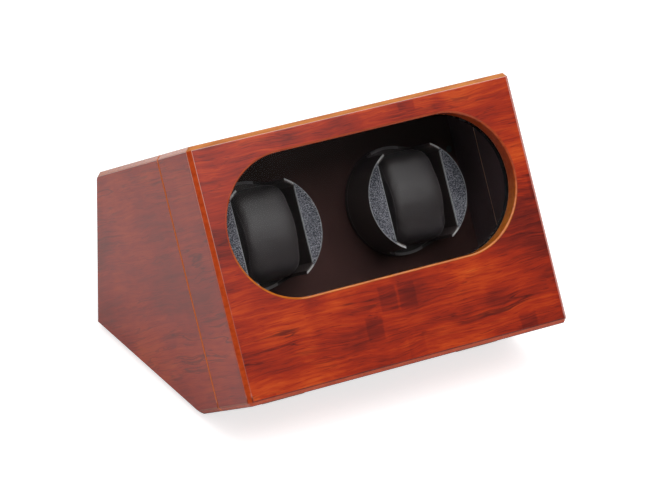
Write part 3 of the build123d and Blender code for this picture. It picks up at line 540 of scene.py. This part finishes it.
# A short grey nap with pale flecks.
def suedeColour(tree, place):
    look = suedeLook
    flecks = noise(tree, place, look["grain"], detail=1.0, roughness=0.6)
    clouds = calculate(tree, "SUBTRACT", noise(tree, place, look["clouds"]), 0.5)
    tone = calculate(tree, "ADD", flecks, calculate(tree, "MULTIPLY", clouds, look["cloudShare"]))
    colour = colourRamp(tree, tone, [(0.38, look["dark"]), (0.50, look["mid"]), (0.66, look["light"])])
    return colour, flecks


# Grey suede on the two crescents of a cup, with a painted highlight along their cut edges.
def makeSuede():
    look = suedeLook
    material, tree, shader, place = newMaterial("greySuede", look["nap"])
    colour, flecks = suedeColour(tree, place)
    sideways = turntablePlace(tree, place)[0]
    # A painted highlight along the straight cut edges of the crescents.
    cut = stretch(tree, sideways, look["slotHalf"], look["slotHalf"] + look["edgeWidth"], 1.0, 0.0)
    colour = blendColour(tree, cut, colour, look["edge"])
    attach(tree, shader, colour=colour, normal=bumped(tree, flecks, 0.4, 0.0004))
    return material


shellLook = {
    "black": (0.058, 0.043, 0.042),
    # a painted highlight on the rim's cut ends
    "paintedTipHighlight": (0.42, 0.41, 0.41),
    "notchFloor": (0.20, 0.18, 0.185),
    "roughness": 0.45,
    "napRoughness": 0.95,
    "tipWidth": 0.0014,
    "rimEdge": 0.35,          # how strong the painted highlight on the nap is along the rim's outer edge
    "rimSlack": 0.0004,       # a point this near the cup's face lies on its rim
    "floorSlack": 0.0003,
}


# Moulded black plastic. The nap covers its rim with a painted highlight along its outer edge, the cut
# ends have a painted highlight, and the notch floors are paler.
def makeCupShell():
    look = shellLook
    size = caseSizes
    material, tree, shader, place = newMaterial("cupShell", {"Specular IOR Level": 0.4})
    sideways, radius, depth = turntablePlace(tree, place)
    onRim = calculate(tree, "LESS_THAN", depth, size["cupFaceDepth"] + look["rimSlack"])
    beside = calculate(tree, "GREATER_THAN", sideways, suedeLook["slotHalf"])
    inSlot = calculate(tree, "SUBTRACT", 1.0, beside)
    outer = calculate(tree, "GREATER_THAN", radius, size["cupRadius"] - look["tipWidth"])
    atTip = calculate(tree, "MULTIPLY", onRim, calculate(tree, "MULTIPLY", outer, inSlot))
    atEdge = calculate(tree, "GREATER_THAN", radius, size["cupRadius"] - suedeLook["edgeWidth"])
    floorGap = calculate(tree, "SUBTRACT", depth, size["cupFaceDepth"] + size["notchDepth"])
    inNotch = calculate(tree, "LESS_THAN", calculate(tree, "ABSOLUTE", floorGap), look["floorSlack"])
    nap, flecks = suedeColour(tree, place)
    # A painted highlight on the nap along the rim's outer edge.
    nap = blendColour(tree, calculate(tree, "MULTIPLY", atEdge, look["rimEdge"]), nap, suedeLook["edge"])
    covered = calculate(tree, "MULTIPLY", onRim, beside)
    colour = blendColour(tree, inNotch, look["black"], look["notchFloor"])
    # The cut ends get a painted highlight.
    colour = blendColour(tree, atTip, colour, look["paintedTipHighlight"])
    colour = blendColour(tree, covered, colour, nap)
    roughness = blendNumber(tree, covered, look["roughness"], look["napRoughness"])
    attach(tree, shader, colour=colour, roughness=roughness, normal=bumped(tree, flecks, 0.2, 0.0002))
    return material


leatherLook = {
    "black": (0.024, 0.019, 0.020),
    "wearAndPaintedHighlight": (0.034, 0.028, 0.030),
    "roughness": 0.50,
    "pebbles": 1900.0,
    "clouds": 45.0,
    "creases": (30, 60, 60),
}


# Smooth black leather with a faint grain and soft creases.
def makeLeather():
    look = leatherLook
    material, tree, shader, place = newMaterial("blackLeather", {
        "Specular IOR Level": 0.5, "Sheen Weight": 0.05, "Sheen Roughness": 0.4,
    })
    values = {"Vector": place, "Scale": look["pebbles"]}
    grain = addNode(tree, "TexVoronoi", values, feature="DISTANCE_TO_EDGE").outputs["Distance"]
    shade = noise(tree, place, look["clouds"], detail=3.0)
    colour = colourRamp(tree, shade, [(0.35, look["black"]), (0.75, look["wearAndPaintedHighlight"])])
    roughness = stretch(tree, shade, 0.3, 0.8, look["roughness"], look["roughness"] + 0.1)
    creases = noise(tree, mapped(tree, place, look["creases"]))
    values = {
        "Height": calculate(tree, "MULTIPLY", grain, 0.25),
        "Strength": 0.12,
        "Distance": 0.0002,
        "Normal": bumped(tree, creases, strength=0.25, distance=0.004),
    }
    normal = addNode(tree, "Bump", values).outputs[0]
    attach(tree, shader, colour=colour, roughness=roughness, normal=normal)
    return material


flockLooks = {
    "deckFlock": {"dark": (0.047, 0.022, 0.020), "light": (0.068, 0.032, 0.029)},
    # Painted light: the walls get a lighter copy of the same black flock, in place of light that does not
    # reach them in shade.
    "wallFlock": {"dark": (0.092, 0.058, 0.062), "light": (0.128, 0.084, 0.090)},
}


# Black flocked lining: matt, with a little sheen at a slant.
def makeFlock(name):
    look = flockLooks[name]
    material, tree, shader, place = newMaterial(name, {
        "Roughness": 0.95, "Specular IOR Level": 0.1, "Sheen Weight": 0.04, "Sheen Roughness": 0.5,
        "Sheen Tint": (0.8, 0.55, 0.5, 1.0),
    })
    nap = noise(tree, place, scale=1600.0, detail=1.0)
    clouds = noise(tree, place, scale=24.0)
    halves = [calculate(tree, "MULTIPLY", part, 0.5) for part in (nap, clouds)]
    tone = calculate(tree, "ADD", *halves)
    colour = colourRamp(tree, tone, [(0.35, look["dark"]), (0.65, look["light"])])
    attach(tree, shader, colour=colour, normal=bumped(tree, nap, 0.15, 0.0002))
    return material


paneLook = {"tint": (0.97, 0.985, 0.98, 1.0), "index": 1.12, "smears": 18.0, "smearRoughness": 0.02}


# Clear glass that lets the lamps' light through to what is behind it.
def makePane():
    look = paneLook
    material, tree, shader, place = newMaterial("clearGlass", {
        "Base Color": look["tint"], "Roughness": 0.0, "IOR": look["index"], "Transmission Weight": 1.0,
    })
    smears = noise(tree, place, look["smears"])
    attach(tree, shader, roughness=stretch(tree, smears, 0.4, 0.9, 0.0, look["smearRoughness"]))
    shadowRay = addNode(tree, "LightPath").outputs["Is Shadow Ray"]
    clear = addNode(tree, "BsdfTransparent").outputs[0]
    mixed = addNode(tree, "MixShader", {0: shadowRay, 1: shader.outputs[0], 2: clear}).outputs[0]
    output = [made for made in tree.nodes if made.type == "OUTPUT_MATERIAL"][0]
    tree.links.new(mixed, output.inputs["Surface"])
    return material


plasticLooks = {
    "glossBlack": {
        "colour": (0.010, 0.010, 0.011), "roughness": 0.22, "grainScale": 900.0, "grainStrength": 0.05,
    },
    "whiteNylon": {
        "colour": (0.62, 0.61, 0.57), "roughness": 0.45, "grainScale": 1400.0, "grainStrength": 0.1,
        "light": 1.15,
    },
    "matteBlack": {"colour": (0.016, 0.016, 0.017), "roughness": 0.5},
    "switchBlack": {
        "colour": (0.014, 0.014, 0.015), "roughness": 0.26, "grainScale": 900.0, "grainStrength": 0.05,
    },
    "sliderGrey": {"colour": (0.27, 0.27, 0.26), "roughness": 0.40},
    "leadSleeve": {
        "colour": (0.030, 0.030, 0.034), "roughness": 0.5, "grainScale": 800.0, "grainStrength": 0.1,
    },
    "footRubber": {
        "colour": (0.020, 0.020, 0.020), "roughness": 0.85, "grainScale": 900.0, "grainStrength": 0.4,
    },
}


# Moulded plastic with a fine spark-eroded grain and slight mottling. The last number says how many
# times as light the mottling gets.
def makePlastic(name, colour, roughness, grainScale=1800.0, grainStrength=0.15, light=1.6):
    material, tree, shader, place = newMaterial(name, {"Specular IOR Level": 0.5, "Coat Roughness": 0.2})
    shade = noise(tree, place, scale=70.0)
    pale = tuple(min(1.0, light * value) for value in colour)
    tone = colourRamp(tree, shade, [(0.3, colour), (0.75, pale)])
    grain = noise(tree, place, grainScale, detail=1.0)
    rough = stretch(tree, shade, 0.3, 0.8, roughness, roughness + 0.08)
    attach(tree, shader, colour=tone, roughness=rough, normal=bumped(tree, grain, grainStrength, 0.0002))
    return material


metalLooks = {
    "brass": {"colour": (0.78, 0.53, 0.22), "roughness": 0.22, "brushed": (1, 0.15, 0.15)},
    "steel": {"colour": (0.55, 0.55, 0.56), "roughness": 0.30, "brushed": (0.15, 1, 1)},
    "nickel": {"colour": (0.72, 0.71, 0.68), "roughness": 0.15},
    "motorCan": {"colour": (0.36, 0.36, 0.38), "roughness": 0.38, "brushed": (1, 1, 0.2)},
}


# Metal with brushing along one direction and a little tarnish.
def makeMetal(name, colour, roughness, brushed=(1, 1, 1)):
    material, tree, shader, place = newMaterial(name, {"Metallic": 1.0})
    lines = noise(tree, mapped(tree, place, brushed), scale=700.0, roughness=0.6)
    tarnish = noise(tree, place, scale=50.0, detail=3.0)
    dull = tuple(0.72 * value for value in colour)
    tone = colourRamp(tree, tarnish, [(0.35, dull), (0.65, colour)])
    rough = stretch(tree, lines, 0.3, 0.7, roughness, roughness + 0.12)
    attach(tree, shader, colour=tone, roughness=rough, normal=bumped(tree, lines, 0.1, 0.0001))
    return material


woodLook = {"dark": (0.30, 0.17, 0.08), "light": (0.55, 0.37, 0.20), "rings": (260, 30, 30)}


# Planed pale wood for the hidden cleats.
def makeRawWood():
    look = woodLook
    material, tree, shader, place = newMaterial("rawWood", {"Roughness": 0.7, "Specular IOR Level": 0.25})
    rings = mapped(tree, place, look["rings"])
    rings = noise(tree, rings, detail=4.0, roughness=0.6, distortion=1.2)
    colour = colourRamp(tree, rings, [(0.3, look["dark"]), (0.7, look["light"])])
    attach(tree, shader, colour=colour, normal=bumped(tree, rings, 0.2, 0.0004))
    return material


boardLook = {"mask": (0.012, 0.10, 0.04), "track": (0.03, 0.19, 0.08), "pattern": 260.0}


# Circuit board: green solder mask with faint tracks under it.
def makeBoard():
    look = boardLook
    settings = {"Roughness": 0.35, "Specular IOR Level": 0.5}
    material, tree, shader, place = newMaterial("circuitBoard", settings)
    values = {"Vector": place, "Scale": look["pattern"]}
    tracks = addNode(tree, "TexVoronoi", values, distance="MANHATTAN").outputs["Distance"]
    colour = colourRamp(tree, tracks, [(0.35, look["mask"]), (0.5, look["track"])])
    attach(tree, shader, colour=colour, normal=bumped(tree, tracks, 0.15, 0.0002))
    return material


# The like nodes on the left and on the right.
def both(*names):
    return [f"{side}_{name}" for side in sides for name in names]


plasticNodes = {
    "glossBlack": ["window_liner"],
    "whiteNylon": both("driven_gear"),
    "matteBlack": ["control_plate", "mode_switch_bodies", "power_jack", "deck_screws"],
    "switchBlack": ["power_switch_body", "power_rocker"],
    "sliderGrey": both("mode_slider"),
    "leadSleeve": ["motor_leads"],
    "footRubber": ["feet"],
}
metalNodes = {
    "brass": [
        "lid_hinge_leaves", "case_hinge_leaves", "hinge_pins", "lid_hinge_screws", "case_hinge_screws",
        "deck_bushes", "plate_bushes", *both("pinion"),
    ],
    "steel": [
        "gearbox_screws", "control_plate_screws", "plate_spacers",
        *both("turntable_shaft", "shaft_clip", "motor_plate", "gearbox"),
    ],
    "nickel": ["case_magnets", "lid_magnets"],
    "motorCan": both("motor"),
}


# Gives every carried-over node its finish.
def paintCase():
    makeEdgeGroup()
    makeFigureGroup()
    paint(makeVeneer(), [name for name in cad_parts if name.endswith(("_panel", "_rail"))])
    paint(makeFlock("deckFlock"), ["deck"])
    paint(makeFlock("wallFlock"), ["case_lining", "lid_lining"])
    paint(makePane(), ["window_pane"])
    paint(makeCupShell(), both("cup"))
    paint(makeSuede(), both("cup_suede"))
    paint(makeBoard(), ["control_board"])
    paint(makeRawWood(), ["deck_cleats"])
    for name, nodes in plasticNodes.items():
        paint(makePlastic(name, **plasticLooks[name]), nodes)
    for name, nodes in metalNodes.items():
        paint(makeMetal(name, **metalLooks[name]), nodes)
    print("stage: finishes made,", len(bpy.data.materials), "materials")


paintCase()

pillowShape = {
    "start": (0.985, 0.985, 0.975),   # the simulation swells it again
    "mergeDistance": 0.00002,
    "voxel": 0.0028,
    "frames": 20,
    "cap": 0.0016,                    # how far a point may move
    "cloth": {
        "use_pressure": True,
        "uniform_pressure_force": 4.0,
        "quality": 5,
        "mass": 0.2,
        "tension_stiffness": 20,
        "compression_stiffness": 20,
        "bending_stiffness": 2.0,
    },
    "weltInset": 0.0016,
    "weltRadius": 0.0003,
    "weltSteps": 160,
    "weltSides": 8,
}


# All of a mesh's points as one array.
def meshPoints(mesh):
    points = np.empty(len(mesh.vertices) * 3)
    mesh.vertices.foreach_get("co", points)
    return points.reshape(-1, 3)


def setMeshPoints(mesh, points):
    mesh.vertices.foreach_set("co", points.ravel())
    mesh.update()


# The lowest and highest corners of some points, and the middle between them.
def extent(points):
    low = points.min(axis=0)
    high = points.max(axis=0)
    return low, high, (low + high) / 2


# Turns a closed mesh's faces outward, once any doubled points are merged.
def turnOutward(mesh, mergeDistance=0.0):
    work = bmesh.new()
    work.from_mesh(mesh)
    if mergeDistance > 0:
        bmesh.ops.remove_doubles(work, verts=work.verts, dist=mergeDistance)
    bmesh.ops.recalc_face_normals(work, faces=work.faces)
    work.to_mesh(mesh)
    work.free()


def newObject(name, data):
    made = bpy.data.objects.new(name, data)
    bpy.context.scene.collection.objects.link(made)
    return made


# Replaces the object's mesh by what its modifiers make of it.
def applyModifiers(target):
    graph = bpy.context.evaluated_depsgraph_get()
    made = bpy.data.meshes.new_from_object(target.evaluated_get(graph))
    target.modifiers.clear()
    target.data = made


# Runs the cloth simulation on a closed form, with pressure inside it and no gravity.
def swell(soft):
    shape = pillowShape
    cloth = soft.modifiers.new("cloth", "CLOTH")
    for key, value in shape["cloth"].items():
        setattr(cloth.settings, key, value)
    cloth.settings.effector_weights.gravity = 0.0
    cloth.point_cache.frame_start = 1
    cloth.point_cache.frame_end = shape["frames"]
    for step in range(1, shape["frames"] + 1):
        bpy.context.scene.frame_set(step)
    applyModifiers(soft)
    bpy.context.scene.frame_set(1)


# One pillow about its turntable's axis, on the front's own axes: the solid's surface drawn in a little
# about its middle, swollen by the simulation, with each point's move capped and the whole held inside
# the solid's box.
def pillowMesh():
    shape = pillowShape
    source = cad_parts["left_pillow"].data.copy()
    place = standMatrix @ Matrix.Translation((-turntableSpread, turntableRise, 0))
    source.transform(place.inverted())
    turnOutward(source, shape["mergeDistance"])
    points = meshPoints(source)
    low, high, middle = extent(points)
    setMeshPoints(source, middle + (points - middle) * np.array(shape["start"]))
    soft = newObject("pillowWork", source)
    remesh = soft.modifiers.new("remesh", "REMESH")
    remesh.mode = "VOXEL"
    remesh.voxel_size = shape["voxel"]
    applyModifiers(soft)
    start = meshPoints(soft.data)
    swell(soft)
    move = meshPoints(soft.data) - start
    length = np.linalg.norm(move, axis=1)[:, None]
    points = start + move * np.minimum(1.0, shape["cap"] / np.maximum(length, 1e-9))
    # It rests flat on the cup's floor, and keeps inside the space of its solid.
    points = np.minimum(np.maximum(points, low), high)
    setMeshPoints(soft.data, points)
    smooth = soft.modifiers.new("smooth", "SMOOTH")
    smooth.factor = 0.5
    smooth.iterations = 1
    divide = soft.modifiers.new("divide", "SUBSURF")
    divide.levels = 1
    divide.render_levels = 1
    applyModifiers(soft)
    mesh = soft.data
    mesh.shade_smooth()
    bpy.data.objects.remove(soft)
    return mesh


# A closed tube on a closed line: each point is the line's own, plus the radius times the cosine of the
# angle round it outward from the line's centre, and times its sine along the width.
def tubePoints(line, centre):
    shape = pillowShape
    outward = line - centre
    outward /= np.linalg.norm(outward, axis=1)[:, None]
    swing = np.linspace(0, 2 * math.pi, shape["weltSides"], endpoint=False)[None, :, None]
    alongWidth = np.array([1.0, 0.0, 0.0])
    across = np.cos(swing) * outward[:, None, :] + np.sin(swing) * alongWidth
    return (line[:, None, :] + shape["weltRadius"] * across).reshape(-1, 3)


# The four-cornered faces of such a tube, whose first point has the number base.
def tubeFaces(base):
    steps = pillowShape["weltSteps"]
    count = pillowShape["weltSides"]
    along, turn = np.meshgrid(np.arange(steps), np.arange(count), indexing="ij")
    nextAlong = (along + 1) % steps
    nextTurn = (turn + 1) % count
    corners = [(along, turn), (along, nextTurn), (nextAlong, nextTurn), (nextAlong, turn)]
    return np.stack([base + first * count + second for first, second in corners], axis=-1).reshape(-1, 4)


# Two thin welts round the pillow near its ends. Rays from the axis find the cover's outline there.
def weltMesh(cover):
    shape = pillowShape
    points = meshPoints(cover)
    low, high, middle = extent(points)
    corners = np.empty(len(cover.loops), dtype=int)
    cover.loops.foreach_get("vertex_index", corners)
    tree = BVHTree.FromPolygons(points.tolist(), corners.reshape(-1, 4).tolist())
    turns = np.linspace(0, 2 * math.pi, shape["weltSteps"], endpoint=False)
    rays = [Vector((0.0, math.cos(turn), math.sin(turn))) for turn in turns]
    allPoints = []
    allFaces = []
    for end in (low[0] + shape["weltInset"], high[0] - shape["weltInset"]):
        centre = Vector((end, middle[1], middle[2]))
        line = np.array([tree.ray_cast(centre, ray)[0] for ray in rays])
        allFaces.append(tubeFaces(sum(len(tube) for tube in allPoints)))
        allPoints.append(tubePoints(line, np.array(centre)))
    made = bpy.data.meshes.new("pillowSeam")
    made.from_pydata(np.concatenate(allPoints).tolist(), [], np.concatenate(allFaces).tolist())
    turnOutward(made)
    made.shade_smooth()
    return made


# Two like pillows, each on its own turntable.
def makePillows():
    leather = makeLeather()
    cover = pillowMesh()
    welts = weltMesh(cover)
    for side, sign in sides.items():
        place = standMatrix @ Matrix.Translation((sign * turntableSpread, turntableRise, 0))
        for label, source in (("cover", cover), ("welts", welts)):
            mesh = source.copy()
            mesh.transform(place)
            mesh.materials.clear()
            mesh.materials.append(leather)
            piece = newObject(f"{side}_pillow_{label}", mesh)
            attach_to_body(piece, f"{side}_pillow_body")
            if label == "cover":
                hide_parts(f"{side}_pillow")
    print("stage: pillows made,", len(cover.vertices), "points each")


makePillows()

studio = {
    "floorSize": 30.0,
    "floorColour": 0.76,
    "floorSeen": 0.72,        # added to the floor for the camera, so that only the shadow's core shows
    "floorShine": 0.06,       # added to the floor in reflections and through glass
    "floorShineFar": 1.0,     # the same far behind the case
    "floorFar": (1.0, 3.0),   # metres behind the case, between those two
    "roomLight": 0.50,
    "shineFront": 0.03,       # the room in reflections, in front of the case
    "shineBack": 0.95,        # and behind it
    "shineTurn": (-0.2, 0.7),
    "panelAzimuth": -16,      # a large soft panel, seen only in glossy surfaces
    "panelElevation": 53.4,
    "panelReach": 0.88,       # cosine of the angle from its middle to its soft edge
    "panelSoftness": 160,
    "panelBright": 1.4,
    "lamps": {
        "overhead": {"azimuth": -14, "elevation": 61, "distance": 2.2, "size": (2.2, 1.7), "power": 27},
    },
}


# A place at a distance from a centre. Azimuth 0 is straight in front and grows to the viewer's left.
def around(azimuth, elevation, distance, centre):
    turn = math.radians(azimuth)
    lift = math.radians(elevation)
    flat = math.cos(lift)
    return centre + distance * Vector((-math.sin(turn) * flat, -math.cos(turn) * flat, math.sin(lift)))


# A white surround for the camera, and a plain pale room, dark in front, for light and gloss.
def makeRoom():
    world = bpy.data.worlds.new("room")
    world.use_nodes = True
    tree = world.node_tree
    tree.nodes.clear()
    path = addNode(tree, "LightPath").outputs
    direction = addNode(tree, "TexCoord").outputs["Generated"]
    backward = partsOf(tree, direction)["Y"]
    shine = stretch(tree, backward, *studio["shineTurn"], studio["shineFront"], studio["shineBack"])
    middle = around(studio["panelAzimuth"], studio["panelElevation"], 1.0, Vector((0, 0, 0)))
    inside = calculate(tree, "SUBTRACT", reachAlong(tree, direction, middle), studio["panelReach"])
    rise = calculate(tree, "EXPONENT", calculate(tree, "MULTIPLY", inside, studio["panelSoftness"]))
    shine = calculate(tree, "ADD", shine, calculate(tree, "MINIMUM", rise, studio["panelBright"]))
    mirrored = calculate(tree, "GREATER_THAN", path["Glossy Depth"], 0.5)
    level = blendNumber(tree, mirrored, studio["roomLight"], shine)
    # Light that a matt surface gets through glass is counted by its shadow rays alone.
    scattered = calculate(tree, "GREATER_THAN", path["Diffuse Depth"], 0.5)
    through = path["Is Transmission Ray"]
    again = calculate(tree, "MULTIPLY", scattered, through)
    level = calculate(tree, "MULTIPLY", level, calculate(tree, "SUBTRACT", 1.0, again))
    # A look straight through glass sees the same white as the camera does.
    turned = calculate(tree, "MAXIMUM", scattered, mirrored)
    straight = calculate(tree, "MULTIPLY", through, calculate(tree, "SUBTRACT", 1.0, turned))
    seen = calculate(tree, "MAXIMUM", path["Is Camera Ray"], straight)
    level = blendNumber(tree, seen, level, 1.0)
    background = addNode(tree, "Background", {"Color": (1, 1, 1, 1), "Strength": level})
    addNode(tree, "OutputWorld", {"Surface": background.outputs[0]})
    bpy.context.scene.world = world


# A pale floor that looks white where no shadow lies.
def makeFloor():
    half = studio["floorSize"] / 2
    mesh = bpy.data.meshes.new("floor")
    corners = [(-half, -half, 0), (half, -half, 0), (half, half, 0), (-half, half, 0)]
    mesh.from_pydata(corners, [], [(0, 1, 2, 3)])
    floor = newObject("floor", mesh)
    material = bpy.data.materials.new("floorPaper")
    material.use_nodes = True
    tree = material.node_tree
    tree.nodes.clear()
    level = studio["floorColour"]
    matt = addNode(tree, "BsdfDiffuse", {"Color": (level, level, level, 1.0)})
    path = addNode(tree, "LightPath").outputs
    seen = calculate(tree, "MULTIPLY", path["Is Camera Ray"], studio["floorSeen"])
    shone = calculate(tree, "MAXIMUM", path["Is Glossy Ray"], path["Is Transmission Ray"])
    behind = partsOf(tree, addNode(tree, "TexCoord").outputs["Object"])["Y"]
    far = stretch(tree, behind, *studio["floorFar"], studio["floorShine"], studio["floorShineFar"])
    shone = calculate(tree, "MULTIPLY", shone, far)
    glow = addNode(tree, "Emission", {"Strength": calculate(tree, "MAXIMUM", seen, shone)})
    lit = addNode(tree, "AddShader", {0: matt.outputs[0], 1: glow.outputs[0]})
    addNode(tree, "OutputMaterial", {"Surface": lit.outputs[0]})
    mesh.materials.append(material)


# Soft rectangular lamps, each turned to the middle of the case.
def makeLamps():
    centre = (cadLow + cadHigh) / 2
    for name, lamp in studio["lamps"].items():
        data = bpy.data.lights.new(name, "AREA")
        data.shape = "RECTANGLE"
        data.size, data.size_y = lamp["size"]
        data.energy = lamp["power"]
        made = newObject(name, data)
        made.location = around(lamp["azimuth"], lamp["elevation"], lamp["distance"], centre)
        made.rotation_euler = (centre - made.location).to_track_quat("-Z", "Y").to_euler()


cameraSettings = {
    "azimuth": 30.86,
    "elevation": 27.17,
    "roll": 1.07,
    "distance": 3.615,
    "lens": 232.06,
    "sensor": 36.0,
    "farthest": 100.0,
    "aim": (-0.0007, 0.0, 0.0993),
}


# The camera at the photograph's angle, turned a little about its own line of sight.
def makeCamera():
    view = cameraSettings
    data = bpy.data.cameras.new("camera")
    data.lens = view["lens"]
    data.sensor_width = view["sensor"]
    data.clip_end = view["farthest"]
    camera = newObject("camera", data)
    aim = Vector(view["aim"])
    place = around(view["azimuth"], view["elevation"], view["distance"], aim)
    back = (place - aim).normalized()
    right = Vector((0, 0, 1)).cross(back).normalized()
    up = back.cross(right)
    roll = math.radians(view["roll"])
    turnedRight = right * math.cos(roll) + up * math.sin(roll)
    turnedUp = up * math.cos(roll) - right * math.sin(roll)
    basis = Matrix((turnedRight, turnedUp, back)).transposed().to_4x4()
    camera.matrix_world = Matrix.Translation(place) @ basis
    bpy.context.scene.camera = camera


makeRoom()
makeFloor()
makeLamps()
makeCamera()
bpy.context.scene.view_settings.view_transform = "Standard"
print("stage: studio made")
